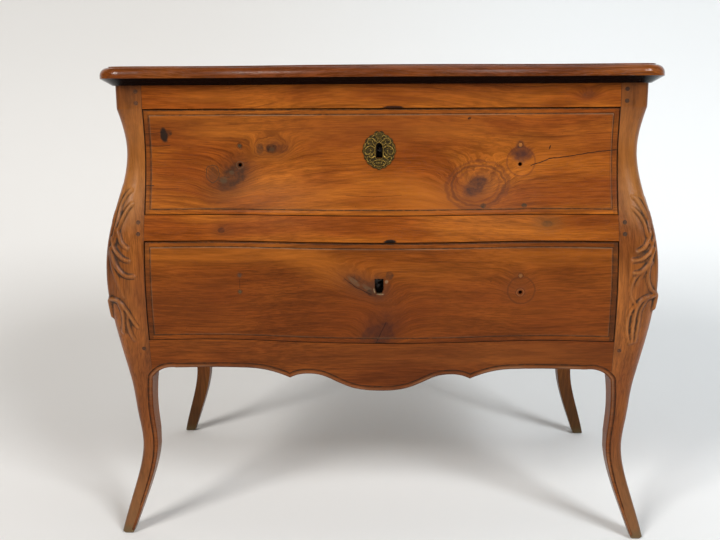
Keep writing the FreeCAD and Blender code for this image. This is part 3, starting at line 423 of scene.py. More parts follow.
@dataclass
class Plug:
    """A wooden plug in an old pull hole, level with the drawer's face."""

    name: str
    x: float
    z: float
    proud: float
    wide: float = 6.9
    buried: float = 0.8
    arris: float = 0.5

    def build(self, material: Material) -> Object:
        """Builds the plug."""
        bm = bmesh.new()
        y = float(CASE.front_y(self.x, self.z))
        place = at(self.x, y + (self.buried - self.proud) / 2, self.z) @ lying()
        add_rod(bm, place, (self.wide, self.wide), self.proud + self.buried, 24)
        rim = [e for e in bm.edges if all(v.co.y < (y - 0.3) * MM for v in e.verts)]
        round_off = {"offset": self.arris * MM, "segments": 2, "profile": 0.5}
        bmesh.ops.bevel(bm, geom=rim, affect="EDGES", material=-1, **round_off)
        bmesh.ops.recalc_face_normals(bm, faces=list(bm.faces))
        return as_object(self.name, bm, material, smooth=False)


@dataclass
class EdgeBead:
    """The rounded lip that follows the apron's lower edge and runs down the legs' inner arrises.

    The profile holds the share of the width, the share of the rise and the dirt and painted shade at each
    station.
    """

    width: float = 8.6
    rise: float = 1.5
    toe_width: float = 5.5
    toe: float = 6.0
    cusp_x: float = 168.5
    cusp_drop: float = 16.5
    flat_x: float = 245.0
    spring_x: float = 385.0
    spring_drop: float = 19.5
    profile: tuple[tuple[float, float, float], ...] = (
        (0.015, -0.3, 0.2), (0.02, 0.12, 0.2), (0.10, 0.62, 0.0), (0.22, 0.88, 0.0), (0.40, 1.0, 0.0),
        (0.58, 0.93, 0.0), (0.74, 0.66, 0.1), (0.86, 0.28, 0.6), (0.93, 0.10, 1.0), (1.05, 0.07, 1.0),
        (1.13, 0.06, 0.5), (1.20, -0.25, 0.0),
    )

    def half_line(self) -> np.ndarray:
        """Points along the right half, from the middle of the apron to the toe."""
        flat = CASE.apron_z
        x = spread(0, self.cusp_x, 2.2)
        scallop = np.stack((x, flat - CASE.apron_fall(x)), 1)
        t = spread(0, 1, 0.05)[1:, None]
        cusp, rise = np.array((self.cusp_x, flat - self.cusp_drop)), np.array((self.flat_x, flat))
        ease = np.array(((self.cusp_x + self.flat_x) / 2, flat))
        sweep = cusp * (1 - t) ** 2 + 2 * ease * t * (1 - t) + rise * t**2
        x = spread(self.flat_x, self.spring_x, 5)[1:]
        level = np.stack((x, np.full_like(x, flat)), 1)
        leg_top = (CASE.post_in, flat - self.spring_drop)
        bend = self.arc((self.spring_x, flat), (415.7, flat - 4.9), leg_top)[1:]
        z = spread(leg_top[1], self.toe, 4.0)[1:]
        return np.concatenate((scallop, sweep, level, bend, np.stack((CASE.post_in + CASE.leg(z), z), 1)))

    @staticmethod
    def arc(start: Point, middle: Point, end: Point, count: int = 14) -> np.ndarray:
        """Points along the arc through three points."""
        a, b, c = (complex(*p) for p in (start, middle, end))
        w = (c - a) / (b - a)
        centre = (b - a) * (w - abs(w) ** 2) / (2j * w.imag) + a
        turns = np.linspace(np.angle(a - centre), np.angle(c - centre), count)
        ring = centre + abs(a - centre) * np.exp(1j * turns)
        return np.stack((ring.real, ring.imag), 1)

    def build(self, material: Material) -> Object:
        """Builds the whole lip, from toe to toe."""
        half = self.half_line()
        line = np.concatenate((half[::-1] * (-1, 1), half[1:]))
        run = np.gradient(line, axis=0)
        run /= np.linalg.norm(run, axis=1)[:, None]
        inward = np.stack((-run[:, 1], run[:, 0]), 1)
        for _ in range(2):
            inward[1:-1] = (inward[:-2] + 2 * inward[1:-1] + inward[2:]) / 4
        inward /= np.linalg.norm(inward, axis=1)[:, None]
        if inward[len(line) // 2, 1] < 0:
            inward = -inward
        share, lift, dirt_and_shade = np.array(self.profile).T
        skin = Skin("apron_lip", range(len(line)), share)
        low = step(line[:, 1], 40.0, 220.0)[:, None]
        wide = self.toe_width + (self.width - self.toe_width) * low
        x = line[:, :1] + inward[:, :1] * share * wide
        z = line[:, 1:] + inward[:, 1:] * share * wide
        far = np.abs(line[:, 0])
        for sign in (-1, 1):
            cusp = sign * self.cusp_x
            here = np.abs(line[:, 0] - cusp) < 30
            beyond, within = here & (far > self.cusp_x), here & (far < self.cusp_x)
            x[beyond] = np.where(np.abs(x[beyond]) < self.cusp_x, cusp, x[beyond])
            x[within] = np.where(np.abs(x[within]) > self.cusp_x, cusp, x[within])
        y = CASE.front_y(np.clip(x, -CASE.half_w, CASE.half_w), z)
        height = np.where(lift < 0, lift, lift * self.rise * (0.6 + 0.4 * low))
        # The dark share paints a shadow line in the groove beside the bead, with dirt; the pale share paints
        # a highlight along its crown, with wear.
        skin.dirt_and_shade = np.broadcast_to(dirt_and_shade, x.shape)
        skin.wear_and_highlight = np.broadcast_to(bell(share - 0.4, 0.2) * 0.55, x.shape)
        return skin.lay((x, y - height, z), (x, y + 0.8, z), material)


class Side(Enum):
    """Which side of the chest, with its sign."""

    LEFT = -1
    RIGHT = 1


@dataclass
class Carving:
    """Leaf and scroll carved over the outer arris of a front post."""

    side: Side
    curls: tuple[Curl, ...]
    mirror_at: float = 15.0
    low: float = 372.0
    high: float = 672.0
    reach: float = 58.0
    pitch: float = 1.45
    ground: float = 0.22
    sunk: float = -0.5
    widest: float = 509.9
    depth: float = 1.6

    def place(self, along: np.ndarray, z: np.ndarray, lift: np.ndarray | float) -> tuple[np.ndarray, ...]:
        """Places over the post's rounded corner.

        Args:
            along: distances round the corner from its arris, towards the outside.
            z: heights.
            lift: distances off the surface.

        Returns:
            Their x, y and z in millimetres.
        """
        out, radius = CASE.bombe(z), CASE.corner(z)
        half = radius * math.pi / 4
        turn = np.clip(along / radius + math.pi / 4, 0, math.pi / 2)
        edge = CASE.half_w + out
        x = edge - radius + (radius + lift) * np.sin(turn) + np.minimum(along + half, 0)
        room = np.maximum(self.widest - edge, 0.1)
        x = np.where(x > edge, edge + room * (1 - np.exp(-np.maximum(x - edge, 0) / room)), x)
        y = CASE.front - out + radius - (radius + lift) * np.cos(turn) + np.maximum(along - half, 0)
        return self.side.value * x, y, z

    def build(self, material: Material) -> Object:
        """Builds the carving."""
        name = self.side.name.lower() + "_post_carving"
        far = 2 * self.mirror_at + self.reach
        skin = Skin(name, spread(-self.reach, far, self.pitch), spread(self.low, self.high, self.pitch))
        along = np.where(skin.u > self.mirror_at, 2 * self.mirror_at - skin.u, skin.u)
        carved = blur(np.maximum.reduce([curl.height(along, skin.v) for curl in self.curls]), 1, 1)
        held = blur((carved > 0.3).astype(float), 2, 2)
        ground = self.sunk + (self.ground - self.sunk) * step(held, 0.02, 0.30)
        lift = np.maximum(ground, ground + carved)
        around = blur(lift, 2, 2)
        # Painted shade with dirt in the hollows beside the strokes, taken from a blurred height like ambient
        # occlusion; painted highlights with wear on the ridges.
        skin.dirt_and_shade = np.clip((around - lift - 0.12) / 0.40, 0, 1) * step(held, 0.03, 0.3) * 0.95
        skin.wear_and_highlight = np.clip((lift - around - 0.15) / 0.8, 0, 1) * 0.5
        keep = blur((lift > self.sunk + 0.05).astype(float), 1, 1) > 0
        back = self.place(skin.u, skin.v, -self.depth)
        return skin.lay(self.place(skin.u, skin.v, lift), back, material, keep)


LEFT_CURLS = (
    Curl(((2, 668), (5, 645), (6, 600), (7, 560), (6, 520), (5, 462)), 11, 15, 1.7, 1.1),
    Curl(((-6.5, 557), (-6.0, 571), (-6.0, 590), (-6.3, 608), (-5.0, 625.6), (-5.4, 638), (-8.4, 647),
          (-12.6, 656.5), (-18, 663.5)), 7, 6.5, 3.0, 1.0),
    Curl(((-7, 557), (-11, 572), (-13.8, 597), (-15.4, 608), (-18.4, 619.6), (-22.4, 631),
          (-27.1, 638.7)), 6, 6.5, 3.0, 1.1),
    Curl(((-10, 592), (-16.3, 583.5), (-21.6, 572.4), (-28.9, 563.4), (-38, 557.6)), 8, 5, 3.2, 0.9),
    Curl(((-3, 576), (-7.6, 564.8), (-14, 553.9), (-22.8, 545.1), (-31.4, 538.3), (-42, 534.8)),
          8, 5.6, 4.0, 0.9),
    Curl(((-3, 557), (-11.2, 540), (-17.6, 526.5), (-26.2, 515.2), (-36.5, 507.1), (-51.5, 505.9)),
          9, 6, 4.0, 0.95),
    Curl(((-2, 550), (-6.3, 539.5), (-12.1, 521.6), (-18.5, 503.3), (-23.5, 487), (-27.7, 472.8),
          (-29.4, 467)), 12, 6, 2.4, 0.7),
    Curl(((13, 455), (2, 460.5), (-7, 461.9), (-18.1, 458.1), (-25.9, 447.5), (-32.5, 434.1),
          (-38.3, 418.1), (-43.3, 408)), 10, 5.5, 4.6, 0.7),
    Curl(((8, 455.4), (10, 440.5), (13, 426)), 15, 10, 5.4, 0.9),
    Curl(((-17, 456), (-21.7, 438.9), (-20.2, 421.6), (-13, 398.5)), 7, 6.5, 3.0, 1.0),
    Curl(((-26, 449), (-30, 439), (-27.4, 421.8), (-26.2, 406.9), (-27.6, 394.3), (-30.5, 383)),
          6, 6, 2.8, 1.0),
    Curl(((8, 621), (8, 606)), 12, 12, 2.2, 1.0),
)
RIGHT_CURLS = (
    Curl(((2, 645), (5, 605), (7, 560), (6, 520), (6, 476)), 10, 15, 1.7, 1.1),
    Curl(((-4, 614), (-8.5, 627.3), (-12.3, 636.3), (-16.3, 644.2), (-21.5, 651)), 7, 4, 2.8, 0.9),
    Curl(((-9, 568), (-11.5, 580), (-12.5, 590), (-13.1, 602), (-16.2, 613), (-20.8, 622), (-26.6, 630)),
          8, 5, 3.4, 0.9),
    Curl(((-3.4, 594), (-1.6, 607), (-3.8, 622.5), (-8.6, 638.3), (-16.7, 650.8)), 7, 4, 2.6, 0.9),
    Curl(((-4, 588), (-9, 578), (-14.9, 569), (-20, 562), (-26, 557.5), (-35.4, 552.7)), 8, 5.4, 4.0, 0.9),
    Curl(((1, 574), (-4.9, 565), (-10.1, 554.3), (-19.1, 545.8), (-29.9, 539.2), (-45, 536.5)),
          8, 5.6, 4.0, 0.9),
    Curl(((-1, 557), (-8.3, 545.2), (-13.6, 534.3), (-22.7, 523.4), (-32.9, 515.5), (-42.9, 513.9)),
          8, 5.6, 4.0, 0.9),
    Curl(((-30, 516), (-39.4, 507.5), (-45.5, 496), (-47.3, 482), (-43.8, 468), (-35.3, 456.3)),
          6, 4, 2.4, 0.8),
    Curl(((-9, 533), (-15.3, 527.6), (-23.9, 516.6), (-32.6, 505.2), (-37.6, 492)), 6, 4, 2.2, 0.7),
    Curl(((-15, 527), (-17.9, 509.6), (-15.9, 495.7), (-7, 481), (5.5, 473.3)), 5, 8, 2.6, 1.2),
    Curl(((10, 471), (-2, 471), (-11.2, 469.7), (-23.3, 465.7), (-29.7, 456.3), (-32.7, 442),
          (-32.6, 425), (-30.4, 405.6), (-25.8, 382)), 10, 6, 4.6, 0.6),
    Curl(((9, 468), (7, 456), (5.5, 447)), 15, 12, 5.6, 0.95),
    Curl(((-15, 466), (-19.8, 458.5), (-24.9, 442), (-23.6, 425), (-21.8, 403), (-20.1, 383)),
          6, 5, 2.8, 0.8),
    Curl(((-35, 455), (-41.7, 442), (-43.9, 425), (-39.3, 400.7), (-29.4, 379)), 6, 4.5, 2.6, 0.9),
    Curl(((8, 620), (8, 604)), 11, 11, 1.8, 1.0),
)


CAST_CURLS = (
    Curl(((7, 17), (13, 22), (19, 20), (20, 14), (15, 11), (11, 13)), 3.2, 2.2, 2.0),
    Curl(((8, 4), (14, 8), (21, 6), (26, -1), (22, -7), (16, -5), (15, 0)), 3.4, 2.0, 2.2),
    Curl(((25, 12), (28, 4), (28, -6), (24, -14)), 2.6, 2.0, 1.6),
    Curl(((8, -10), (14, -13), (20, -11), (22, -16), (17, -21), (12, -19)), 3.2, 2.2, 2.1),
    Curl(((4, 28), (9, 27), (13, 24)), 2.6, 1.8, 1.6),
    Curl(((9, -2), (12, -6), (17, -8)), 2.2, 1.6, 1.5),
    Curl(((9, 10), (12, 15), (10, 19)), 2.2, 1.6, 1.5),
    Curl(((14, -27), (18, -24), (23, -21)), 2.4, 1.6, 1.5),
)


@dataclass
class Escutcheon:
    """The cast brass plate round the upper keyhole: shell crest, scrolls and a cartouche below."""

    z: float = 735.0
    half_w: float = 30.0
    half_h: float = 34.8
    key_w: float = 10.6
    key_h: float = 26.4
    plate: float = 1.3
    lobes: int = 17
    seat: float = 1.15
    sprigs: int = 95
    stations: int = 241
    rows: int = 48
    pin_rise: float = 28.75
    pin_wide: float = 1.6
    pin_long: float = 8.0
    pin_head: float = 1.7

    def rim(self, turn: np.ndarray) -> tuple[np.ndarray, np.ndarray]:
        """The outline at each turn from the top, clockwise."""
        scallop = 1 + 0.055 * np.abs(np.sin(turn * self.lobes / 2)) - 0.035
        crest = bell(np.minimum(turn, 2 * math.pi - turn), 0.30, 4)
        neck = bell(np.minimum(np.abs(turn - 0.48), np.abs(turn - 2 * math.pi + 0.48)), 0.14)
        ear = bell(np.minimum(np.abs(turn - 1.53), np.abs(turn - 4.75)), 0.12)
        foot = bell(turn - math.pi, 0.34)
        size = scallop * (0.93 + 0.07 * crest - 0.035 * neck + 0.04 * ear + 0.05 * foot)
        return self.half_w * 1.05 * np.sin(turn) * size, self.half_h * np.cos(turn) * size

    def slot(self, turn: np.ndarray) -> tuple[np.ndarray, np.ndarray]:
        """The keyhole's edge at each turn: a round head and a parallel slot."""
        half, tall = self.key_w / 2, self.key_h / 2
        x, z = np.sin(turn), np.cos(turn)
        size = np.minimum(half / np.maximum(np.abs(x), 1e-6), tall / np.maximum(np.abs(z), 1e-6))
        px, pz = x * size, z * size
        head = pz > tall - half
        reach = np.sqrt(np.clip(half**2 - px**2, 0, None))
        return px, np.where(head, np.minimum(pz, tall - half + reach), pz)

    def curls(self) -> list[Curl]:
        """The cast relief, both sides of the middle."""
        tips = [((0.8 * k, 21), (2.6 * k, 33 - 1.2 * k * k / 2)) for k in range(1, 4)]
        rays = [Curl(line, 1.6, 2.6, 1.8, 1.2) for line in tips]
        edge = ((self.key_w / 2 + 1.6, -13), (self.key_w / 2 + 1.8, 6), (4.4, 12.6), (0, 15.2))
        right = [*CAST_CURLS, *rays, Curl(edge, 2.6, 2.4, 1.8, 1.0)]
        found = right + [curl.mirrored() for curl in right]
        found.append(Curl(((0, 20), (0, 34)), 1.6, 2.8, 1.9, 1.2))
        ring = tuple((11.5 * math.sin(t), -22.5 + 5.6 * math.cos(t)) for t in np.linspace(0, 2 * math.pi, 17))
        found.append(Curl(ring, 2.4, 2.4, 2.2, 1.0))
        found.append(Curl(((-4, -22.5), (4, -22.5)), 5.0, 5.0, 1.5, 1.0))
        chance = np.random.default_rng(11)
        for _ in range(self.sprigs):
            turn, far = chance.uniform(0, math.pi), chance.uniform(0.36, 0.97)
            x, z = self.half_w * far * math.sin(turn), self.half_h * far * math.cos(turn)
            lean, size = turn + chance.normal(0, 0.6), chance.uniform(1.6, 3.2)
            for s in (-1, 1):
                end = (s * (x + size * math.sin(lean)), z + size * math.cos(lean))
                found.append(Curl(((s * x, z), end), 1.5, 1.1, chance.uniform(0.9, 1.9), 1.0))
        return found

    def build(self, material: Material) -> Object:
        """Builds the plate."""
        turns = np.linspace(0, 2 * math.pi, self.stations)
        turns[-1] = turns[0]
        skin = Skin("escutcheon_cast", range(self.stations), np.linspace(0, 1, self.rows))
        turn, share = turns[skin.u.astype(int)], skin.v
        (rx, rz), (kx, kz) = self.rim(turn), self.slot(turn)
        x, z = kx * (1 - share) + rx * share, kz * (1 - share) + rz * share
        relief = np.maximum.reduce([curl.height(x, z) for curl in self.curls()])
        edge = np.minimum(share, 1 - share)
        lift = self.plate + relief * 0.85 * step(edge, 0.0, 0.07)
        lift = lift * (0.55 + 0.45 * step(edge, 0.0, 0.05))
        lift += 0.35 * np.clip(1 - (x / self.half_w) ** 2 - (z / self.half_h) ** 2, 0, 1)
        around = blur(relief, 3, 2)
        skin.dirt_and_shade = np.clip((around - relief) / 0.7, 0, 1)
        skin.wear_and_highlight = np.clip((relief - around) / 0.7, 0, 1)
        y = CASE.front_y(x, z + self.z) - self.seat
        return skin.lay((x, y - lift, z + self.z), (x, y, z + self.z), material, ring=True)

    def pins(self, material: Material) -> Object:
        """The two round-headed pins."""
        bm = bmesh.new()
        for rise in (self.pin_rise, -self.pin_rise):
            y = float(CASE.front_y(0, self.z + rise)) - self.seat - self.plate
            place = at(0, y, self.z + rise)
            dome = place @ Matrix.Diagonal((1, 0.75, 1, 1))
            head = self.pin_head * MM
            bmesh.ops.create_uvsphere(bm, u_segments=20, v_segments=12, radius=head, matrix=dome)
            shank = place @ at(0, self.pin_long / 2, 0) @ lying()
            add_rod(bm, shank, (self.pin_wide, self.pin_wide), self.pin_long, 16)
        bmesh.ops.recalc_face_normals(bm, faces=list(bm.faces))
        return as_object("escutcheon_cast_pins", bm, material)


# ------------------------------------------------------------------ shader wiring
class Wiring:
    """Adds nodes to one tree and joins them."""

    def __init__(self, tree: bpy.types.NodeTree) -> None:
        """Keeps the tree."""
        self.tree = tree

    def put(self, kind: str, **settings: object) -> Node:
        """Adds a node with some of its properties set."""
        node = self.tree.nodes.new(kind)
        for key, value in settings.items():
            setattr(node, key, value)
        return node

    def feed(self, socket: Socket, value: object) -> None:
        """Links a socket, or sets it to a plain value."""
        if isinstance(value, Socket):
            self.tree.links.new(value, socket)
        else:
            if socket.type == "RGBA" and len(value) == 3:
                value = (*value, 1.0)
            socket.default_value = value

    def math(self, operation: str, first: Value, second: Value = 0.0, clamp: bool = False) -> Value:
        """One Math node."""
        node = self.put("ShaderNodeMath", operation=operation, use_clamp=clamp)
        self.feed(node.inputs[0], first)
        self.feed(node.inputs[1], second)
        return node.outputs[0]

    def times(self, first: Value, second: Value) -> Value:
        """A product."""
        return self.math("MULTIPLY", first, second)

    def plus(self, first: Value, second: Value, clamp: bool = False) -> Value:
        """A sum."""
        return self.math("ADD", first, second, clamp)

    def minus(self, first: Value, second: Value) -> Value:
        """A difference."""
        return self.math("SUBTRACT", first, second)

    def vector(self, operation: str, first: object, second: object = (0, 0, 0)) -> Socket:
        """One Vector Math node's vector, or its value for lengths and dots."""
        node = self.put("ShaderNodeVectorMath", operation=operation)
        self.feed(node.inputs[0], first)
        self.feed(node.inputs[1], second)
        return node.outputs["Value" if operation in ("LENGTH", "DOT_PRODUCT", "DISTANCE") else "Vector"]

    def noise(
        self, where: object, stretch: Sequence[float], detail: float = 2.0, rough: float = 0.5
    ) -> Value:
        """Noise on a stretched copy of a vector."""
        node = self.put("ShaderNodeTexNoise")
        self.feed(node.inputs["Vector"], self.vector("MULTIPLY", where, tuple(stretch)))
        self.fill(node, {"Scale": 1.0, "Detail": detail, "Roughness": rough})
        return node.outputs["Fac"]

    def ease(self, value: Value, low: Value, high: Value, start: Value = 0.0, end: Value = 1.0) -> Value:
        """A soft step between two limits."""
        node = self.put("ShaderNodeMapRange", interpolation_type="SMOOTHSTEP")
        for socket, given in zip(node.inputs, (value, low, high, start, end)):
            self.feed(socket, given)
        return node.outputs[0]

    def mix(self, share: Value, first: object, second: object, blend: str = "MIX") -> Socket:
        """Mixes two colours."""
        node = self.put("ShaderNodeMix", data_type="RGBA", blend_type=blend)
        self.feed(node.inputs[0], share)
        self.feed(node.inputs[6], first)
        self.feed(node.inputs[7], second)
        return node.outputs[2]

    def axes(self, vector: object) -> tuple[Value, Value, Value]:
        """A vector's three parts."""
        node = self.put("ShaderNodeSeparateXYZ")
        self.feed(node.inputs[0], vector)
        return node.outputs[0], node.outputs[1], node.outputs[2]

    def gather(self, x: Value, y: Value, z: Value) -> Socket:
        """A vector from three parts."""
        node = self.put("ShaderNodeCombineXYZ")
        for socket, given in zip(node.inputs, (x, y, z)):
            self.feed(socket, given)
        return node.outputs[0]

    def group(self, tree: bpy.types.NodeTree, **inputs: object) -> Node:
        """Places a shared group with its inputs."""
        node = self.put("ShaderNodeGroup", node_tree=tree)
        self.fill(node, inputs)
        return node

    def fill(self, node: Node, values: dict[str, object]) -> None:
        """Feeds several of a node's sockets."""
        for key, value in values.items():
            self.feed(node.inputs[key], value)

    def attribute(self, name: str) -> Value:
        """One of the surface's own measures."""
        return self.put("ShaderNodeAttribute", attribute_name=name).outputs["Fac"]

    def shade(self, colour: object, share: Value) -> Socket:
        """A colour times a plain value."""
        return self.mix(1.0, colour, self.gather(share, share, share), "MULTIPLY")

    def bump(self, shader: Node, height: Value, strength: float, distance: float) -> None:
        """Roughens a shader's surface by a height."""
        node = self.put("ShaderNodeBump")
        self.fill(node, {"Strength": strength, "Distance": distance, "Height": height})
        self.feed(shader.inputs["Normal"], node.outputs[0])


class Effects:
    """The shared node groups, each built once."""

    @staticmethod
    def start(
        name: str, takes: dict[str, str], gives: Sequence[str]
    ) -> tuple[Wiring, dict[str, Value], Node]:
        """Opens a new group with its sockets."""
        tree = bpy.data.node_groups.new(name, "ShaderNodeTree")
        for key, kind in takes.items():
            tree.interface.new_socket(name=key, in_out="INPUT", socket_type="NodeSocket" + kind)
        for key in gives:
            tree.interface.new_socket(name=key, in_out="OUTPUT", socket_type="NodeSocketFloat")
        wiring = Wiring(tree)
        source = wiring.put("NodeGroupInput")
        return wiring, {key: source.outputs[key] for key in takes}, wiring.put("NodeGroupOutput")

    @staticmethod
    @cache
    def grain() -> bpy.types.NodeTree:
        """Growth lines, fibres, pores and clouds of wood whose grain runs along the vector's X."""
        w, take, give = Effects.start(
            "grain", {"Vector": "Vector", "Swell": "Float", "Spacing": "Float", "Wander": "Float"},
            ("Lines", "Fibre", "Pores", "Cloud", "Streak", "Height"),
        )
        where = take["Vector"]
        x, y, z = w.axes(where)
        drift = w.minus(w.noise(where, (1.6, 4.0, 5.5), 2.0, 0.45), 0.5)
        ripple = w.minus(w.noise(where, (9.0, 30.0, 34.0), 2.0, 0.5), 0.5)
        level = w.plus(z, w.times(y, 0.55))
        level = w.plus(level, w.times(drift, take["Wander"]))
        level = w.plus(level, w.times(ripple, 0.0035))
        level = w.plus(level, take["Swell"])
        year = w.math("DIVIDE", level, take["Spacing"])
        year = w.plus(year, w.times(w.noise(where, (0.9, 14.0, 26.0), 1.0), 3.0))
        part = w.math("FRACT", year)
        rise = w.ease(part, 0.55, 0.94)
        fall = w.ease(part, 0.94, 1.0, 1.0, 0.0)
        faint = w.noise(w.vector("ADD", where, (3.1, 0.0, 1.7)), (2.4, 9.0, 24.0), 2.0)
        strength = w.ease(faint, 0.38, 0.66, 0.12, 1.0)
        fine = w.math("FRACT", w.times(year, 3.0))
        thin = w.times(w.ease(fine, 0.5, 0.9), w.ease(fine, 0.9, 1.0, 1.0, 0.0))
        lines = w.math("MAXIMUM", w.times(rise, fall), w.times(thin, 0.4))
        w.feed(give.inputs["Lines"], w.times(lines, strength))
        bent = w.gather(x, y, level)
        fibre = w.noise(bent, (22.0, 300.0, 520.0), 4.0, 0.6)
        w.feed(give.inputs["Fibre"], fibre)
        pores = w.ease(w.noise(bent, (90.0, 900.0, 1900.0), 1.0), 0.62, 0.74)
        w.feed(give.inputs["Pores"], pores)
        cloud = w.noise(w.gather(x, y, level), (3.2, 8.0, 11.0), 3.0, 0.55)
        w.feed(give.inputs["Cloud"], cloud)
        w.feed(give.inputs["Streak"], w.noise(w.gather(x, y, level), (6.0, 40.0, 75.0), 3.0, 0.55))
        height = w.minus(w.times(fibre, 0.5), w.times(pores, 0.6))
        w.feed(give.inputs["Height"], height)
        return w.tree

    @staticmethod
    @cache
    def reach() -> bpy.types.NodeTree:
        """How far a place lies from the middle of an oval: one on its edge, more outside it."""
        w, take, give = Effects.start(
            "reach",
            {"Vector": "Vector", "Centre": "Vector", "Radii": "Vector", "Tilt": "Float", "Shake": "Float"},
            ("Reach",),
        )
        away = w.vector("SUBTRACT", take["Vector"], take["Centre"])
        x, _, z = w.axes(away)
        cos, sin = w.math("COSINE", take["Tilt"]), w.math("SINE", take["Tilt"])
        along = w.plus(w.times(x, cos), w.times(z, sin))
        over = w.minus(w.times(z, cos), w.times(x, sin))
        shape = w.vector("DIVIDE", w.gather(along, 0.0, over), take["Radii"])
        far = w.vector("LENGTH", w.vector("MULTIPLY", shape, (1, 0, 1)))
        w.feed(give.inputs["Reach"], w.plus(far, take["Shake"]))
        return w.tree

    @staticmethod
    @cache
    def stroke() -> bpy.types.NodeTree:
        """A wavering line between two points, as a mask: a crack, a joint or a scratch."""
        w, take, give = Effects.start(
            "stroke",
            {"Vector": "Vector", "Start": "Vector", "End": "Vector", "Width": "Float", "Waver": "Float"},
            ("Mask",),
        )
        x, _, z = w.axes(take["Vector"])
        place = w.gather(x, 0.0, w.plus(z, take["Waver"]))
        run = w.vector("SUBTRACT", take["End"], take["Start"])
        away = w.vector("SUBTRACT", place, take["Start"])
        share = w.math(
            "DIVIDE", w.vector("DOT_PRODUCT", away, run), w.vector("DOT_PRODUCT", run, run), clamp=True
        )
        node = w.put("ShaderNodeVectorMath", operation="SCALE")
        w.feed(node.inputs[0], run)
        w.feed(node.inputs["Scale"], share)
        gap = w.vector("LENGTH", w.vector("SUBTRACT", away, node.outputs[0]))
        w.feed(give.inputs["Mask"], w.ease(gap, take["Width"], w.times(take["Width"], 0.35)))
        return w.tree


# ------------------------------------------------------------------ finishes
def open_material(name: str) -> tuple[Material, Wiring, Node]:
    """A new material, its wiring and its shader."""
    material = bpy.data.materials.new(name)
    material.use_nodes = True
    material.node_tree.nodes.clear()
    w = Wiring(material.node_tree)
    shader = w.put("ShaderNodeBsdfPrincipled")
    w.feed(w.put("ShaderNodeOutputMaterial").inputs["Surface"], shader.outputs[0])
    return material, w, shader


class Run(Enum):
    """Which way a board's grain runs: the order in which it takes the chest's axes."""

    ACROSS = (0, 1, 2)
    BACK = (1, 0, 2)
    UP = (2, 1, 0)

    def along(self, w: Wiring, axes: Sequence[Value], shift: Sequence[float]) -> Value:
        """A place with the grain along its X, moved to a stretch of wood of its own."""
        return w.vector("ADD", w.gather(*(axes[k] for k in self.value)), tuple(shift))


@dataclass(frozen=True)
class Spot:
    """An oval place in a board: a knot, a stain, a change of tone, a painted highlight or a painted shade, in
    millimetres and degrees.
    """

    x: float
    z: float
    wide: float
    high: float
    tilt: float = 0.0
    lift: float = 0.0
    heart: float = 0.0
    halo: float = 0.0
    ring: float = 0.0
    ragged: float = 0.5
    colour: Colour = (0.030, 0.013, 0.007)
    solid: bool = False


@dataclass(frozen=True)
class Mark:
    """A drawn line on a board: a crack, joint or scratch, in millimetres."""

    points: tuple[Point, ...]
    width: float = 1.0
    waver: float = 2.0
    dark: float = 0.9


PIT: Colour = (0.022, 0.009, 0.005)
CRACK: Colour = (0.016, 0.007, 0.004)
GRIME_AND_SHADE: Colour = (0.022, 0.012, 0.006)
SEAM: Colour = (0.02, 0.009, 0.005)
TOE: Colour = (0.10, 0.075, 0.035)
SHADE: Colour = (0.006, 0.003, 0.0025)
DUST: Colour = (0.11, 0.075, 0.045)
DEEP_MARK = 0.85


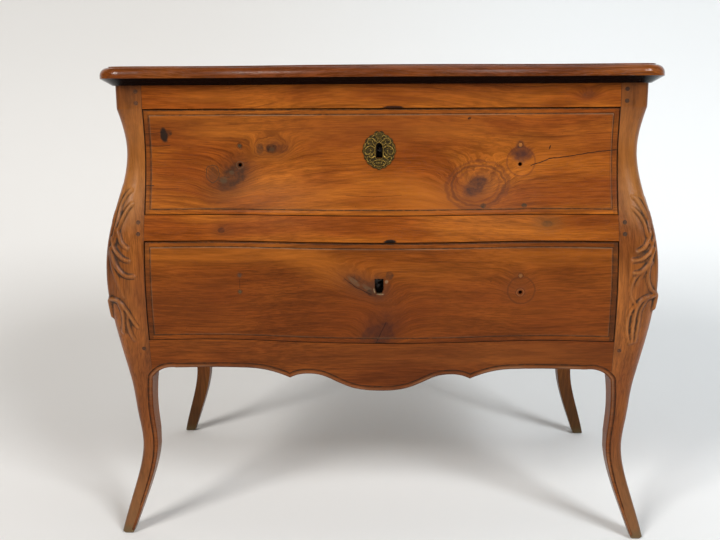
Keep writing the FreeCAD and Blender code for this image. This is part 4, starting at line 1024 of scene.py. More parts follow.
@dataclass(frozen=True)
class Fruitwood:
    """Waxed old cherry."""

    name: str
    pale: Colour = (0.365, 0.103, 0.0100)
    mid: Colour = (0.220, 0.050, 0.0048)
    deep: Colour = (0.080, 0.0165, 0.0028)
    run: Run = Run.ACROSS
    spacing: float = 13.0
    wander: float = 30.0
    shift: Colour = (0.0, 0.0, 0.0)
    figure: float = 0.5
    spots: tuple[Spot, ...] = ()
    marks: tuple[Mark, ...] = ()
    rough: float = 0.36
    sheen: float = 0.10
    # The pale colour laid by the pale attribute: wear with painted highlights.
    highlight_and_wear: Colour = (0.30, 0.165, 0.085)
    attributes: bool = False
    feet: bool = False
    worn: Colour = (0.17, 0.092, 0.042)
    joint_at: float = 0.0
    painted_shade_below: float = 0.0
    ripple: float = 0.0

    def make(self) -> Material:
        """Builds the material."""
        material, w, shader = open_material(self.name)
        where = w.put("ShaderNodeTexCoord").outputs["Object"]
        x, y, z = w.axes(where)
        along = self.run.along(w, (x, y, z), self.shift)
        ragged = w.minus(w.noise(where, (60.0, 60.0, 90.0), 2.0), 0.5)
        swell = self.swell(w, where, ragged)
        size = {"Spacing": self.spacing * MM, "Wander": self.wander * MM}
        grain = w.group(Effects.grain(), Vector=along, Swell=swell, **size).outputs
        colour = self.bare(w, along, grain)
        colour = self.spotted(w, where, along, ragged, grain, colour)
        colour, height = self.marked(w, where, colour, grain["Height"])
        rough: Value = w.ease(grain["Fibre"], 0.3, 0.75, self.rough * 0.85, self.rough * 1.25)
        if self.attributes:
            colour, rough = self.dirt_wear_and_light(w, where, colour, rough)
        if self.joint_at:
            side = w.minus(w.math("ABSOLUTE", x), self.joint_at * MM)
            seam = w.times(w.ease(side, 0.0013, 0.0003), w.ease(side, -0.0004, 0.0))
            colour = w.mix(w.times(w.times(seam, w.ease(z, 0.31, 0.33)), 0.8), colour, SEAM)
        if self.feet:
            splash = w.times(w.noise(where, (18.0, 18.0, 9.0), 3.0), 0.10)
            colour = w.mix(w.times(w.ease(w.plus(z, splash), 0.27, 0.06), 0.62), colour, self.worn)
            colour = w.mix(w.times(w.ease(z, 0.022, 0.004), 0.7), colour, TOE)
        sheen: Value = self.sheen
        # Painted shade: below this level the top's underside is made near-black as if in shadow, and its
        # sheen is dulled away from the ends.
        if self.painted_shade_below:
            level = self.painted_shade_below * MM
            under = w.ease(z, level + 0.0006, level - 0.0008)
            colour = w.mix(under, colour, SHADE)
            inner = w.ease(w.math("ABSOLUTE", x), 0.497, 0.462)
            dull = w.minus(1.0, w.times(inner, w.ease(under, 0.0, 1.0, 0.5, 0.95)))
            sheen = w.times(dull, self.sheen)
            rough = w.times(rough, w.ease(w.math("ABSOLUTE", x), 0.45, 0.485, 1.4, 0.7))
        if self.ripple:
            wave = w.noise(where, (16.0, 45.0, 90.0), 2.0, 0.5)
            height = w.plus(height, w.times(wave, self.ripple))
        coat = {"Base Color": colour, "Roughness": rough, "Specular IOR Level": sheen, "IOR": 1.48}
        w.fill(shader, coat)
        w.bump(shader, height, 0.35, 0.0006)
        return material

    def reach(self, w: Wiring, where: Value, spot: Spot, ragged: Value) -> Value:
        """How far a place lies from the middle of a spot: one on its edge, more outside it."""
        node = w.group(
            Effects.reach(), Vector=where, Centre=(spot.x * MM, 0.0, spot.z * MM),
            Radii=(spot.wide * MM, 1.0, spot.high * MM), Tilt=math.radians(spot.tilt),
            Shake=w.times(ragged, spot.ragged),
        )
        return node.outputs["Reach"]

    def swell(self, w: Wiring, where: Value, ragged: Value) -> Value:
        """How far the knots push the growth lines aside."""
        swell: Value = 0.0
        for spot in self.spots:
            if spot.lift:
                reach = self.reach(w, where, spot, ragged)
                hump = w.math("POWER", math.e, w.times(w.times(reach, reach), -0.5))
                swell = w.plus(swell, w.times(hump, spot.lift * MM))
        return swell

    def bare(self, w: Wiring, along: Value, grain: Outputs) -> Value:
        """The colour of the clean board: clouds, growth lines, fibres, pores and pits."""
        colour = w.mix(w.ease(grain["Cloud"], 0.40, 0.64), self.mid, self.pale)
        patch = w.noise(w.vector("ADD", along, (7.0, 0.0, 3.0)), (1.6, 4.0, 7.0), 2.0)
        colour = w.mix(w.ease(patch, 0.48, 0.72, 0.0, 0.3), colour, self.deep)
        colour = w.shade(colour, w.ease(grain["Streak"], 0.3, 0.7, 0.80, 1.16))
        colour = w.mix(w.times(grain["Lines"], self.figure), colour, self.deep)
        colour = w.shade(colour, w.ease(grain["Fibre"], 0.36, 0.64, 0.74, 1.16))
        colour = w.mix(w.times(grain["Pores"], 0.35), colour, self.deep)
        pits = w.ease(w.noise(along, (230.0, 300.0, 300.0), 1.0), 0.76, 0.82, 0.0, 0.7)
        return w.mix(pits, colour, PIT)

    def spotted(
        self, w: Wiring, where: Value, along: Value, ragged: Value, grain: Outputs, colour: Value
    ) -> Value:
        """A colour with the knots, stains, painted highlights and painted shade of its spots over it."""
        streaks = w.ease(grain["Streak"], 0.32, 0.66, 0.55, 1.0)
        speck = w.ease(w.noise(along, (150.0, 150.0, 150.0), 3.0), 0.35, 0.65, 0.55, 1.0)
        for spot in self.spots:
            reach = self.reach(w, where, spot, ragged)
            if spot.halo:
                halo = w.times(w.ease(reach, 2.2, 0.3), streaks)
                colour = w.mix(w.times(halo, spot.halo), colour, spot.colour)
            if spot.heart:
                heart = w.times(w.ease(reach, 1.0, 0.55), 1.0 if spot.solid else speck)
                colour = w.mix(w.times(heart, spot.heart), colour, spot.colour)
            if spot.ring:
                ring = w.ease(w.math("ABSOLUTE", w.minus(reach, 1.0)), 0.09, 0.02)
                colour = w.mix(w.times(ring, spot.ring), colour, spot.colour)
        return colour

    def marked(self, w: Wiring, where: Value, colour: Value, height: Value) -> tuple[Value, Value]:
        """A colour and a height with the cracks and scratches over them."""
        waver = w.minus(w.noise(where, (70.0, 0.0, 70.0), 3.0, 0.6), 0.5)
        for mark in self.marks:
            bend = w.times(waver, mark.waver * MM)
            for (x0, z0), (x1, z1) in zip(mark.points, mark.points[1:]):
                ends = {"Start": (x0 * MM, 0.0, z0 * MM), "End": (x1 * MM, 0.0, z1 * MM)}
                line = w.group(Effects.stroke(), Vector=where, Width=mark.width * MM, Waver=bend, **ends)
                line = w.times(line.outputs["Mask"], mark.dark)
                colour = w.mix(line, colour, CRACK)
                if mark.dark > DEEP_MARK:
                    height = w.minus(height, w.times(line, 1.5))
        return colour, height

    def dirt_wear_and_light(self, w: Wiring, where: Value, colour: Value, rough: Value) -> tuple[Value, Value]:
        """A colour and a roughness with the surface's own dirt and wear, and its painted shade and
        highlights, over them.
        """
        dirt_and_shade, wear_and_highlight = w.attribute("dirt_and_shade"), w.attribute("wear_and_highlight")
        patchy = w.ease(w.noise(where, (120.0, 120.0, 120.0), 3.0), 0.3, 0.62, 0.55, 1.0)
        # The dark attribute lays dirt and painted shade in the grime colour; the pale one lays wear and
        # painted highlights.
        colour = w.mix(w.times(dirt_and_shade, patchy), colour, GRIME_AND_SHADE)
        worn = w.ease(w.noise(where, (14.0, 14.0, 14.0), 3.0), 0.35, 0.65, 0.25, 1.0)
        colour = w.mix(w.times(wear_and_highlight, worn), colour, self.highlight_and_wear)
        return colour, w.plus(rough, w.times(dirt_and_shade, 0.2))


@dataclass(frozen=True)
class RawWood:
    """Bare secondary wood, dusty and dry."""

    name: str
    pale: Colour = (0.42, 0.25, 0.115)
    deep: Colour = (0.20, 0.105, 0.043)
    run: Run = Run.ACROSS
    end_grain: bool = False
    shift: float = 0.0

    def make(self) -> Material:
        """Builds the material."""
        material, w, shader = open_material(self.name)
        where = w.put("ShaderNodeTexCoord").outputs["Object"]
        along = self.run.along(w, w.axes(where), (self.shift, 0.0, self.shift))
        grain = w.group(Effects.grain(), Vector=along, Swell=0.0, Spacing=0.006, Wander=0.02)
        colour = w.mix(w.ease(grain.outputs["Cloud"], 0.35, 0.68), self.deep, self.pale)
        colour = w.mix(w.times(grain.outputs["Lines"], 0.55), colour, self.deep)
        fibre = w.ease(grain.outputs["Fibre"], 0.3, 0.7, 0.8, 1.12)
        colour = w.shade(colour, fibre)
        dust = w.ease(w.noise(along, (4.0, 12.0, 16.0), 4.0), 0.45, 0.75, 0.0, 0.35)
        colour = w.mix(dust, colour, DUST)
        height = grain.outputs["Height"]
        if self.end_grain:
            speck = w.noise(where, (520.0, 520.0, 520.0), 3.0)
            colour = w.mix(w.ease(speck, 0.42, 0.62, 0.0, 0.7), colour, self.deep)
            height = speck
        w.feed(shader.inputs["Base Color"], colour)
        w.feed(shader.inputs["Roughness"], w.ease(grain.outputs["Fibre"], 0.3, 0.7, 0.62, 0.8))
        shader.inputs["Specular IOR Level"].default_value = 0.15
        w.bump(shader, height, 0.5, 0.0008)
        return material


@dataclass(frozen=True)
class OldMetal:
    """Aged metal: bright where it is worn, dark in its hollows."""

    name: str
    bright: Colour
    dark: Colour
    spot: Colour
    rough: float = 0.38
    attributes: bool = False

    def make(self) -> Material:
        """Builds the material."""
        material, w, shader = open_material(self.name)
        where = w.put("ShaderNodeTexCoord").outputs["Object"]
        cloud = w.noise(where, (110.0, 110.0, 110.0), 4.0, 0.6)
        speck = w.noise(where, (620.0, 620.0, 620.0), 3.0, 0.6)
        wear: Value = w.ease(cloud, 0.36, 0.66)
        if self.attributes:
            dirt_and_shade = w.attribute("dirt_and_shade")
            wear_and_highlight = w.attribute("wear_and_highlight")
            bits = w.ease(w.noise(where, (300.0, 300.0, 300.0), 2.0, 0.7), 0.38, 0.60)
            wear = w.plus(w.times(wear, 0.2), w.times(wear_and_highlight, 0.8), clamp=True)
            wear = w.times(wear, w.plus(0.3, w.times(bits, 0.7)))
            wear = w.times(wear, w.minus(1.0, w.times(dirt_and_shade, 0.9)))
        colour = w.mix(wear, self.dark, self.bright)
        colour = w.mix(w.ease(speck, 0.56, 0.7, 0.0, 0.6), colour, self.spot)
        w.feed(shader.inputs["Base Color"], colour)
        w.feed(shader.inputs["Metallic"], w.ease(wear, 0.0, 0.5, 0.85, 1.0))
        w.feed(shader.inputs["Roughness"], w.ease(wear, 0.0, 1.0, self.rough + 0.24, self.rough))
        w.bump(shader, speck, 0.4, 0.0004)
        return material


@dataclass(frozen=True)
class Backdrop:
    """Pale seamless paper, cooler to the right, that can be seen through from behind."""

    name: str = "backdrop"
    warm: Colour = (0.80, 0.790, 0.775)
    cool: Colour = (0.885, 0.915, 0.935)

    def make(self) -> Material:
        """Builds the material."""
        material, w, shader = open_material(self.name)
        front_only = w.put("ShaderNodeMixShader")
        w.feed(front_only.inputs[0], w.put("ShaderNodeNewGeometry").outputs["Backfacing"])
        w.feed(front_only.inputs[1], shader.outputs[0])
        w.feed(front_only.inputs[2], w.put("ShaderNodeBsdfTransparent").outputs[0])
        w.feed(w.tree.get_output_node("ALL").inputs["Surface"], front_only.outputs[0])
        x, _, z = w.axes(w.put("ShaderNodeTexCoord").outputs["Object"])
        colour = w.mix(w.ease(x, -1.2, 1.1), self.warm, self.cool)
        # Painted shade: the paper is made darker towards the top.
        fall = w.ease(z, 0.25, 1.5, 1.0, 0.84)
        w.feed(shader.inputs["Base Color"], w.shade(colour, fall))
        w.fill(shader, {"Roughness": 0.9, "Specular IOR Level": 0.1})
        return material


# ------------------------------------------------------------------ studio
@dataclass
class Studio:
    """The floor, the paper behind, the lights and the camera."""

    eye: tuple[float, float, float] = (21.6, -1892.8, 818.2)
    yaw: float = -0.03532
    pitch: float = 0.14068
    roll: float = 0.00503
    lens: float = 44.933
    shift_x: float = 0.0004
    shift_y: float = -0.0539
    half_w: float = 6000.0
    near: float = -4500.0
    wall: float = 2400.0
    height: float = 4200.0
    sweep: float = 1800.0
    turns: int = 32
    below: float = 0.2

    def build(self) -> None:
        """Sets up the whole studio."""
        self.camera()
        self.paper()
        self.lights()
        bpy.context.scene.view_settings.view_transform = "Standard"

    def camera(self) -> None:
        """Places the camera."""
        c, s = math.cos(self.yaw), math.sin(self.yaw)
        cp, sp = math.cos(self.pitch), math.sin(self.pitch)
        cr, sr = math.cos(self.roll), math.sin(self.roll)
        right, ahead, up = Vector((c, -s, 0)), Vector((cp * s, cp * c, -sp)), Vector((sp * s, sp * c, cp))
        level, rise = right * cr - up * sr, right * sr + up * cr
        data = bpy.data.cameras.new("camera")
        data.sensor_width, data.lens = 36.0, self.lens
        data.shift_x, data.shift_y = self.shift_x, self.shift_y
        data.clip_end = 50.0
        camera = bpy.data.objects.new("camera", data)
        turn = Matrix((level, rise, -ahead)).transposed().to_4x4()
        camera.matrix_world = at(*self.eye) @ turn
        bpy.context.scene.collection.objects.link(camera)
        bpy.context.scene.camera = camera

    def paper(self) -> None:
        """Lays the floor and sweeps it up behind."""
        bm = bmesh.new()
        foot = self.wall - self.sweep
        line = [(self.near, 0.0), (foot, 0.0)]
        for turn in np.linspace(0, math.pi / 2, self.turns + 1)[1:]:
            line.append((foot + self.sweep * math.sin(turn), self.sweep * (1 - math.cos(turn))))
        line.append((self.wall, self.height))
        verts = [bm.verts.new(Vector((-self.half_w, y, z - self.below)) * MM) for y, z in line]
        edges = [bm.edges.new(pair) for pair in zip(verts, verts[1:])]
        run_out(bm, bmesh.ops.extrude_edge_only(bm, edges=edges), (2 * self.half_w, 0, 0))
        if sum(f.normal.z for f in bm.faces) < 0:
            bmesh.ops.reverse_faces(bm, faces=list(bm.faces))
        paper = as_object("paper", bm, Backdrop().make())

    def lights(self) -> None:
        """Hangs two soft boxes in front and one overhead, and fills the room with pale light."""
        for name, place, aim, size, watts, tint in (
            ("left_box", (-4350, -5680, 5100), (0, 0, 480), 2.7, 470.0, (1.0, 0.97, 0.93)),
            ("right_box", (4470, -5560, 5100), (0, 0, 480), 2.7, 470.0, (0.96, 0.985, 1.0)),
            ("over_box", (450, 150, 4200), (450, 100, 0), 2.0, 20.0, (1.0, 1.0, 1.0)),
        ):
            data = bpy.data.lights.new(name, "AREA")
            data.shape, data.size, data.energy, data.color = "SQUARE", size, watts, tint
            lamp = bpy.data.objects.new(name, data)
            lamp.location = Vector(place) * MM
            turn = (Vector(aim) * MM - lamp.location).to_track_quat("-Z", "Y")
            lamp.rotation_euler = turn.to_euler()
            bpy.context.scene.collection.objects.link(lamp)
        world = bpy.data.worlds.new("room")
        world.use_nodes = True
        room = world.node_tree.nodes["Background"]
        room.inputs[0].default_value = (1.0, 0.90, 0.78, 1.0)
        room.inputs[1].default_value = 0.085
        bpy.context.scene.world = world


# ------------------------------------------------------------------ finishes of the solid parts
class Joinery:
    """Gives every solid part of the case, drawers and locks its finish."""

    def __init__(self) -> None:
        """Makes the finishes."""
        self.made: dict[str, Material] = {}

    def finish(self, spec: object) -> Material:
        """A finish, made once."""
        if spec.name not in self.made:
            self.made[spec.name] = spec.make()
        return self.made[spec.name]

    def dress(self, nodes: dict[str, Object]) -> None:
        """Gives each node its finish."""
        for name, node in nodes.items():
            node.data.materials.clear()
            node.data.materials.append(self.finish(self.choose(name)))

    def choose(self, name: str) -> object:
        """The finish of one node."""
        if name in WOODS:
            return WOODS[name]
        if name == "frame_pegs" or name.endswith("pull_hole_plugs"):
            return PEG
        if "escutcheon" in name:
            return BRASS
        if "lock" in name or "nails" in name:
            return IRON
        if name.startswith("back_board_"):
            return RawWood(name + "_wood", shift=0.37 * len(name) + 0.11 * ord(name[11]))
        across = name.startswith("back_") or name.endswith("drawer_back")
        if across or name in ("drawer_stops", "top_glue_blocks"):
            return RawWood("inner_wood_across")
        return RawWood("inner_wood_back", run=Run.BACK)


PEG = RawWood("peg_wood", pale=(0.120, 0.050, 0.023), deep=(0.045, 0.018, 0.009), end_grain=True)
ORANGE_PLUG = replace(PEG, name="orange_plug_wood", pale=(0.42, 0.15, 0.028), deep=(0.22, 0.07, 0.014))
GREY_PLUG = replace(PEG, name="grey_plug_wood", pale=(0.14, 0.078, 0.030), deep=(0.050, 0.026, 0.010))
PALE_PLUG = replace(PEG, name="pale_plug_wood", pale=(0.30, 0.125, 0.038), deep=(0.15, 0.055, 0.014))
GOLD: Colour = (0.40, 0.118, 0.013)
RUST: Colour = (0.155, 0.032, 0.005)
NEAR_BLACK: Colour = (0.012, 0.007, 0.005)
FILLER: Colour = (0.085, 0.050, 0.024)
CHARRED: Colour = (0.022, 0.011, 0.006)
LEAF_EDGE: Colour = (0.38, 0.165, 0.055)
PULL_X = 256.5


def gold(x: float, z: float, wide: float, high: float, halo: float, tilt: float = 0.0) -> Spot:
    """A soft golden patch."""
    return Spot(x, z, wide, high, tilt, halo=halo, colour=GOLD)


def rust(x: float, z: float, wide: float, high: float, halo: float, tilt: float = 0.0) -> Spot:
    """A soft rusty patch."""
    return Spot(x, z, wide, high, tilt, halo=halo, colour=RUST)


UPPER_SPOTS = (
    gold(-150, 655, 110, 14, 0.35, 4),
    gold(62, 662, 60, 20, 0.6, -12),
    rust(-60, 772, 120, 22, 0.5),
    rust(-30, 740, 110, 20, 0.4),
    gold(125, 770, 60, 12, 0.4),
    gold(-300, 770, 50, 10, 0.35),
    rust(330, 735, 90, 20, 0.35, 6),
    rust(-370, 690, 40, 40, 0.45),
    rust(60, 790, 150, 16, 0.3),
    rust(385, 690, 50, 50, 0.25),
    gold(100, 640, 90, 20, 0.4),
    gold(-380, 800, 60, 14, 0.35),
    rust(350, 655, 80, 18, 0.3),
    Spot(-192, 737, 22, 14, lift=42, halo=0.75, colour=(0.085, 0.026, 0.009)),
    Spot(-197, 738, 14, 11, heart=0.95),
    Spot(-196, 737, 6, 5, heart=0.5, colour=FILLER),
    Spot(-178, 738, 17, 10, heart=0.6, colour=(0.075, 0.020, 0.008)),
    Spot(-218, 738, 9, 12, lift=12, heart=0.75, colour=(0.05, 0.024, 0.012)),
    Spot(-270, 688, 42, 24, 38, lift=30, halo=0.85, colour=(0.070, 0.022, 0.008)),
    Spot(-270, 687, 40, 22, 38, heart=0.9, colour=(0.046, 0.019, 0.009)),
    Spot(-287, 680, 9, 8, heart=0.75, colour=FILLER),
    Spot(-272, 694, 6, 5, heart=0.6, colour=FILLER),
    Spot(-308, 692, 12, 16, 10, heart=0.45, ring=0.9, colour=(0.062, 0.030, 0.014)),
    Spot(258, 727, 13, 9, lift=20, halo=0.75, heart=0.85, colour=(0.055, 0.020, 0.014)),
    Spot(258, 713, 26, 26, ring=0.45, ragged=0.16, colour=(0.09, 0.022, 0.010)),
    Spot(260, 726, 26, 17, heart=0.7, ragged=0.8, colour=(0.070, 0.024, 0.016)),
    Spot(177, 673, 40, 29, 12, lift=62, halo=0.2, colour=(0.13, 0.040, 0.012)),
    Spot(180, 672, 22, 14, 30, halo=0.7, colour=(0.085, 0.028, 0.014)),
    Spot(174, 670, 33, 17, 36, heart=0.85, colour=(0.050, 0.019, 0.012)),
    Spot(178, 671, 41, 29, 10, ring=0.35, ragged=0.25, colour=(0.10, 0.026, 0.010)),
    Spot(179, 671, 49, 36, 5, ring=0.6, ragged=0.25, colour=(0.075, 0.022, 0.008)),
    Spot(178, 672, 57, 42, 8, ring=0.45, ragged=0.3, colour=(0.09, 0.025, 0.010)),
    Spot(-395, 763, 9, 15, 4, heart=1.0, ragged=1.5, colour=CHARRED, solid=True),
    Spot(-388, 767, 10, 8, heart=0.9, ragged=1.3, colour=CHARRED),
    Spot(188, 635, 6.5, 5.5, heart=1.0, ragged=0.3, colour=(0.040, 0.026, 0.012)),
    Spot(263, 634, 6.0, 5.0, heart=1.0, ragged=0.3, colour=(0.045, 0.030, 0.014)),
    Spot(162, 792, 4.5, 3.0, 30, heart=1.0, ragged=0.3, colour=NEAR_BLACK),
    Spot(-PULL_X, 708, 6.6, 6.6, ring=0.8, ragged=0.1, colour=(0.12, 0.075, 0.040)),
    Spot(PULL_X, 708, 6.0, 6.0, ring=0.5, ragged=0.1, colour=(0.20, 0.09, 0.035)),
    Spot(-PULL_X, 743, 5.4, 5.4, ring=0.85, ragged=0.2, colour=(0.045, 0.018, 0.010)),
    Spot(PULL_X, 744, 9.5, 9.0, heart=0.85, ragged=0.3, colour=(0.050, 0.020, 0.012)),
    Spot(310, 738, 1.6, 6, -20, heart=0.9, ragged=0.6, colour=NEAR_BLACK),
)
UPPER_MARKS = (
    Mark(((276, 706), (296, 712), (310, 718), (343, 722), (396, 731), (429, 734)), 1.2, 3.0, 0.95),
    Mark(((-300, 640), (-120, 644), (-60, 640)), 0.5, 4.0, 0.35),
    Mark(((-60, 700), (60, 696)), 0.4, 4.0, 0.3),
    Mark(((60, 705), (120, 690), (150, 684)), 0.5, 4.0, 0.35),
    Mark(((417, 800), (417, 628)), 0.7, 1.2, 0.35),
    Mark(((-60, 655), (-10, 652), (40, 655)), 0.7, 4.0, 0.5),
    Mark(((-429, 766), (-395, 768)), 0.8, 1.5, 0.8),
    Mark(((-429, 745), (-410, 743), (-385, 744)), 0.8, 1.5, 0.8),
    Mark(((-429, 720), (-380, 718), (-340, 719)), 0.6, 1.5, 0.5),
    Mark(((-429, 700), (-412, 700)), 0.6, 1.0, 0.5),
    Mark(((-429, 671), (-415, 671)), 1.0, 1.0, 0.95),
    Mark(((-422, 800), (-422, 628)), 0.8, 1.2, 0.5),
    Mark(((-410, 664), (-370, 666)), 0.6, 1.5, 0.5),
    Mark(((-412, 690), (-392, 692)), 0.5, 1.5, 0.4),
    Mark(((188, 640), (188, 627)), 0.4, 1.0, 0.7),
)
LOWER_SPOTS = (
    gold(-310, 548, 150, 14, 0.45),
    gold(-120, 534, 70, 18, 0.45, -20),
    gold(90, 520, 90, 14, 0.2),
    gold(330, 545, 110, 14, 0.35),
    rust(180, 472, 140, 22, 0.4),
    rust(40, 425, 120, 30, 0.4),
    rust(-330, 450, 80, 40, 0.4),
    Spot(258, 481, 25, 25, ring=0.45, ragged=0.15, colour=(0.055, 0.016, 0.006)),
    Spot(8, 406, 34, 22, 62, heart=0.75, ragged=1.0, colour=(0.042, 0.013, 0.007)),
    Spot(-20, 404, 22, 10, 48, heart=0.7, ragged=0.9, colour=(0.050, 0.018, 0.010)),
    rust(350, 430, 70, 30, 0.4),
    Spot(-30, 494, 40, 17, -24, lift=44, halo=0.7, colour=(0.085, 0.026, 0.010)),
    Spot(-34, 496, 40, 16, -27, heart=0.7, ragged=0.9, colour=(0.060, 0.022, 0.010)),
    Spot(-46, 502, 17, 5.5, -38, heart=0.6, ragged=0.8, colour=(0.130, 0.080, 0.042)),
    Spot(-20, 488, 17, 5.5, -38, heart=0.6, ragged=0.8, colour=(0.110, 0.066, 0.034)),
    Spot(-14, 480, 12, 7, -20, heart=0.85, ragged=0.8, colour=(0.024, 0.011, 0.006)),
    Spot(3, 408, 24, 34, -35, lift=36, halo=0.75, colour=(0.060, 0.016, 0.007)),
    # Painted highlight with pale wood: a pale crescent at the keyhole's bottom edge stands for its lit,
    # chipped ledge.
    Spot(1.5, 478.2, 8.5, 1.9, heart=1.0, ragged=0.9, colour=(0.34, 0.22, 0.12), solid=True),
    Spot(-8.6, 484.5, 1.6, 6.0, 12, heart=0.9, ragged=0.9, colour=(0.30, 0.19, 0.10), solid=True),
    Spot(13.5, 501, 3.6, 3.4, 30, heart=0.8, ragged=1.0, colour=(0.30, 0.19, 0.10)),
    Spot(19, 512, 9, 8, 40, heart=0.7, ragged=1.2, colour=(0.035, 0.018, 0.010)),
    Spot(252, 487, 20, 22, lift=16, halo=0.35, colour=(0.10, 0.03, 0.012)),
    Spot(PULL_X, 477, 6.4, 6.4, ring=0.6, ragged=0.1, colour=(0.25, 0.12, 0.05)),
    Spot(PULL_X, 477, 8.5, 8.5, ring=0.6, ragged=0.2, colour=(0.04, 0.014, 0.008)),
    Spot(PULL_X, 508, 5.2, 5.2, ring=0.5, ragged=0.2, colour=(0.05, 0.02, 0.01)),
    Spot(-PULL_X, 508, 5.2, 5.2, ring=0.6, ragged=0.2, colour=(0.05, 0.035, 0.02)),
    Spot(-PULL_X, 477, 5.2, 5.2, ring=0.6, ragged=0.2, colour=(0.04, 0.025, 0.014)),
    Spot(0, 492, 11, 17, halo=0.55, ragged=0.8, colour=(0.05, 0.022, 0.012)),
)
LOWER_MARKS = (
    Mark(((-62, 506), (-40, 490), (-14, 478)), 0.9, 5.0, 0.8),
    Mark(((-52, 512), (-30, 498)), 0.6, 4.0, 0.5),
    Mark(((12, 424), (2, 402), (-6, 384)), 1.1, 3.0, 0.8),
    Mark(((-6, 384.5), (4, 384.5)), 1.6, 1.0, 0.9),
    Mark(((-PULL_X, 500), (-PULL_X, 484)), 0.8, 1.0, 0.5),
    Mark(((110, 478), (160, 470), (210, 470)), 0.4, 2.0, 0.3),
)


def woods() -> dict[str, Fruitwood]:
    """The show woods by node."""
    found = {
        "top_board": Fruitwood(
            "top_wood", pale=(0.215, 0.060, 0.0095), mid=(0.125, 0.029, 0.0045),
            deep=(0.055, 0.010, 0.0030), spacing=16.0, shift=(0.4, 0.1, 0.2), rough=0.19, sheen=0.5,
            painted_shade_below=865.4, ripple=0.8,
        ),
        "upper_front_rail": Fruitwood(
            "upper_rail_wood", shift=(0.9, 0.0, 0.0),
            spots=(
                Spot(375, 833, 14, 8, 10, lift=14, halo=0.4, heart=0.5, colour=(0.06, 0.022, 0.012)),
                # Painted shade: a near-black patch stands for the shadowed notch the lock's bolt has chipped
                # in the rail's lower edge.
                Spot(27, 812, 25, 3.2, heart=1.0, ragged=0.9, colour=NEAR_BLACK, solid=True),
                gold(-300, 832, 60, 9, 0.4),
                rust(-40, 832, 130, 14, 0.5),
                gold(190, 830, 90, 9, 0.35),
                rust(400, 832, 40, 14, 0.4),
            ),
        ),
        "middle_front_rail": Fruitwood(
            "middle_rail_wood", shift=(1.7, 0.0, 0.0),
            spots=(
                Spot(-290, 590, 8, 6, lift=8, heart=1.0, colour=(0.03, 0.014, 0.008)),
                Spot(-286, 590, 16, 9, halo=0.5, colour=(0.08, 0.024, 0.008)),
                Spot(305, 601, 14, 7, lift=10, heart=1.0, colour=(0.032, 0.026, 0.014)),
                Spot(305, 601, 20, 11, halo=0.7, colour=(0.12, 0.045, 0.012)),
                # Painted shade: a near-black patch stands for a shadowed notch chipped in the rail's lower
                # edge.
                Spot(20, 573, 14, 4.2, heart=1.0, ragged=0.9, colour=NEAR_BLACK, solid=True),
                rust(-200, 596, 130, 12, 0.3),
                gold(250, 590, 140, 9, 0.25),
            ),
            marks=(Mark(((40, 596), (90, 590), (150, 592)), 0.5, 2.0, 0.5),),
        ),
        "front_apron": Fruitwood(
            "apron_wood", shift=(2.9, 0.0, 0.0), mid=(0.130, 0.029, 0.0042), pale=(0.185, 0.047, 0.0065),
            deep=(0.055, 0.012, 0.0025),
            spots=(
                Spot(250, 356, 170, 18, halo=0.5, colour=(0.23, 0.066, 0.011)),
                Spot(-90, 352, 90, 16, halo=0.45, colour=(0.085, 0.018, 0.003)),
            ),
        ),
    }
    for side, sign, shift in (("left", -1, 3.7), ("right", 1, 4.4)):
        post = Fruitwood(
            side + "_post_wood", run=Run.UP, shift=(shift, 0.0, 0.0), pale=(0.295, 0.092, 0.0150),
            mid=(0.180, 0.050, 0.0085), deep=(0.080, 0.019, 0.004), feet=True, joint_at=CASE.post_in,
            figure=0.3, rough=0.32, sheen=0.2,
            spots=(
                Spot(457 * sign, 832, 40, 22, halo=0.5, colour=(0.070, 0.022, 0.008)),
                # Painted highlight: a pale orange patch on the waist stands for the sheen of the light there.
                Spot(462 * sign, 655, 22, 40, halo=0.5, colour=(0.42, 0.185, 0.058)),
                Spot(455 * sign, 730, 26, 60, halo=0.45, colour=(0.40, 0.150, 0.030)),
                Spot(452 * sign, 834, 12, 30, heart=0.35, ragged=1.2, colour=(0.05, 0.020, 0.010)),
            ),
        )
        found[side + "_front_post"] = post
        found[side + "_rear_post"] = replace(
            post, name=side + "_rear_post_wood", pale=(0.19, 0.064, 0.013), mid=(0.125, 0.038, 0.009),
            deep=(0.055, 0.016, 0.005), spots=(), sheen=0.1, worn=(0.058, 0.034, 0.016),
        )
        flank = Fruitwood(side + "_side_wood", run=Run.BACK, shift=(shift + 1.1, 0.0, 0.0))
        for part in ("_side_top_rail", "_side_panel", "_side_apron"):
            found[side + part] = flank
    found["upper_drawer_front"] = Fruitwood(
        "upper_front_wood", shift=(5.3, 0.0, 0.0), spots=UPPER_SPOTS, marks=UPPER_MARKS
    )
    found["lower_drawer_front"] = Fruitwood(
        "lower_front_wood", shift=(6.1, 0.0, 0.0), mid=(0.142, 0.032, 0.0036), pale=(0.20, 0.050, 0.0056),
        deep=(0.055, 0.012, 0.0022), spots=LOWER_SPOTS, marks=LOWER_MARKS,
    )
    for worked, source, name, highlight_and_wear in (
        ("upper_drawer_face", "upper_drawer_front", "upper_face_wood", Fruitwood.highlight_and_wear),
        ("lower_drawer_face", "lower_drawer_front", "lower_face_wood", Fruitwood.highlight_and_wear),
        ("apron_lip", "front_apron", "apron_lip_wood", Fruitwood.highlight_and_wear),
        # The carvings' ridges take a brighter orange for wear and painted highlights.
        ("left_carving", "left_front_post", "left_carving_wood", LEAF_EDGE),
        ("right_carving", "right_front_post", "right_carving_wood", LEAF_EDGE),
    ):
        found[worked] = replace(found[source], name=name, attributes=True, highlight_and_wear=highlight_and_wear)
    return found


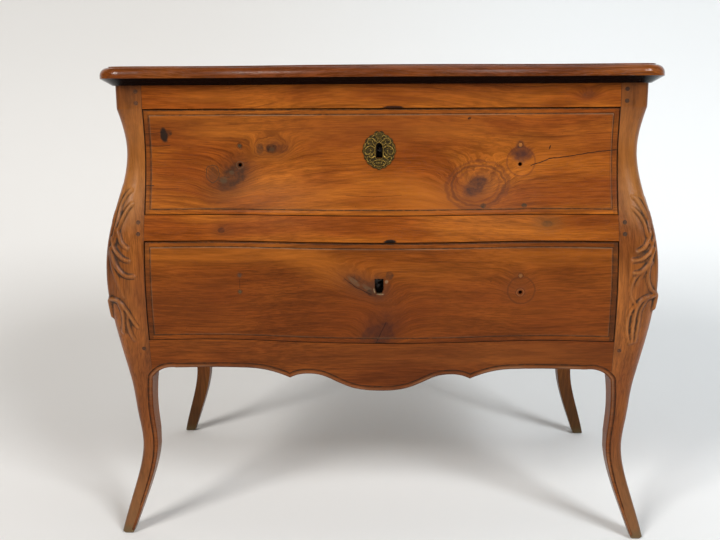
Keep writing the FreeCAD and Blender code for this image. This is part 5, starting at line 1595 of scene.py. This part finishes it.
WOODS = woods()
BRASS = OldMetal("brass_finish", (0.40, 0.25, 0.055), (0.032, 0.022, 0.008), (0.022, 0.016, 0.007))
CAST_BRASS = replace(BRASS, name="cast_brass_finish", attributes=True)
IRON = OldMetal("iron_finish", (0.13, 0.12, 0.115), (0.035, 0.03, 0.028), (0.09, 0.035, 0.015), rough=0.5)


PLUG_SUNK = 0.05
KEYS = {
    "upper": tuple(
        [(-5.35, 721.7), (5.35, 721.7)]
        + [(5.35 * math.cos(t), 742.9 + 5.35 * math.sin(t)) for t in np.linspace(0, math.pi, 19)]
    ),
    "lower": ((-4.6, 477.6), (4.6, 477.6), (7.9, 486.8), (7.9, 506.4), (-7.9, 506.4), (-7.9, 486.8)),
}


def main() -> None:
    """Builds every piece in order."""
    logging.basicConfig(level=logging.INFO, format="%(message)s")
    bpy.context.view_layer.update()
    Studio().build()
    LOG.info("studio ready")
    joinery = Joinery()
    joinery.dress(frame["nodes"])
    LOG.info("solid parts finished")

    faces = (
        DrawerFace(
            "upper_face", CASE.upper_z + CASE.foot_gap, CASE.kink_z - CASE.head_gap, KEYS["upper"],
            open_holes=((-PULL_X, 708.0), (PULL_X, 708.0)),
            plugged=((-PULL_X, 743.0, GREY_PLUG), (PULL_X, 743.0, ORANGE_PLUG)),
        ),
        DrawerFace(
            "lower_face", CASE.lower_z + CASE.foot_gap, CASE.middle_z - CASE.head_gap, KEYS["lower"],
            open_holes=((PULL_X, 477.0),),
            plugged=((PULL_X, 508.0, PALE_PLUG), (-PULL_X, 508.0, PEG), (-PULL_X, 477.0, GREY_PLUG)),
            field_rise=0.6, grime=(0.4, 0.62),
        ),
    )
    for prefix, face in zip(("upper", "lower"), faces):
        piece = face.build(joinery.finish(WOODS[prefix + "_drawer_face"]))
        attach(piece, prefix + "_drawer")
        LOG.info("%s drawer face cut", prefix)
        for x, z, peg in face.plugged:
            side = "left" if x < 0 else "right"
            plug = Plug(f"{prefix}_{side}_plug_{int(z)}", x, z, proud=face.field_rise - PLUG_SUNK)
            plug = plug.build(joinery.finish(peg))
            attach(plug, prefix + "_drawer")
    lip = EdgeBead().build(joinery.finish(WOODS["apron_lip"]))
    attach(lip, "case")
    LOG.info("apron lip run")
    for side, curls in ((Side.LEFT, LEFT_CURLS), (Side.RIGHT, RIGHT_CURLS)):
        carving = Carving(side, curls).build(joinery.finish(WOODS[side.name.lower() + "_carving"]))
        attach(carving, "case")
        LOG.info("%s post carved", side.name.lower())
    brass = joinery.finish(CAST_BRASS)
    plate = Escutcheon()
    cast = ((plate.build(brass), "upper_escutcheon"), (plate.pins(brass), "upper_escutcheon_pins"))
    for piece, node in cast:
        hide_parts(node)
        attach(piece, "upper_drawer")
    LOG.info("escutcheon cast")


if __name__ == "__main__":
    main()
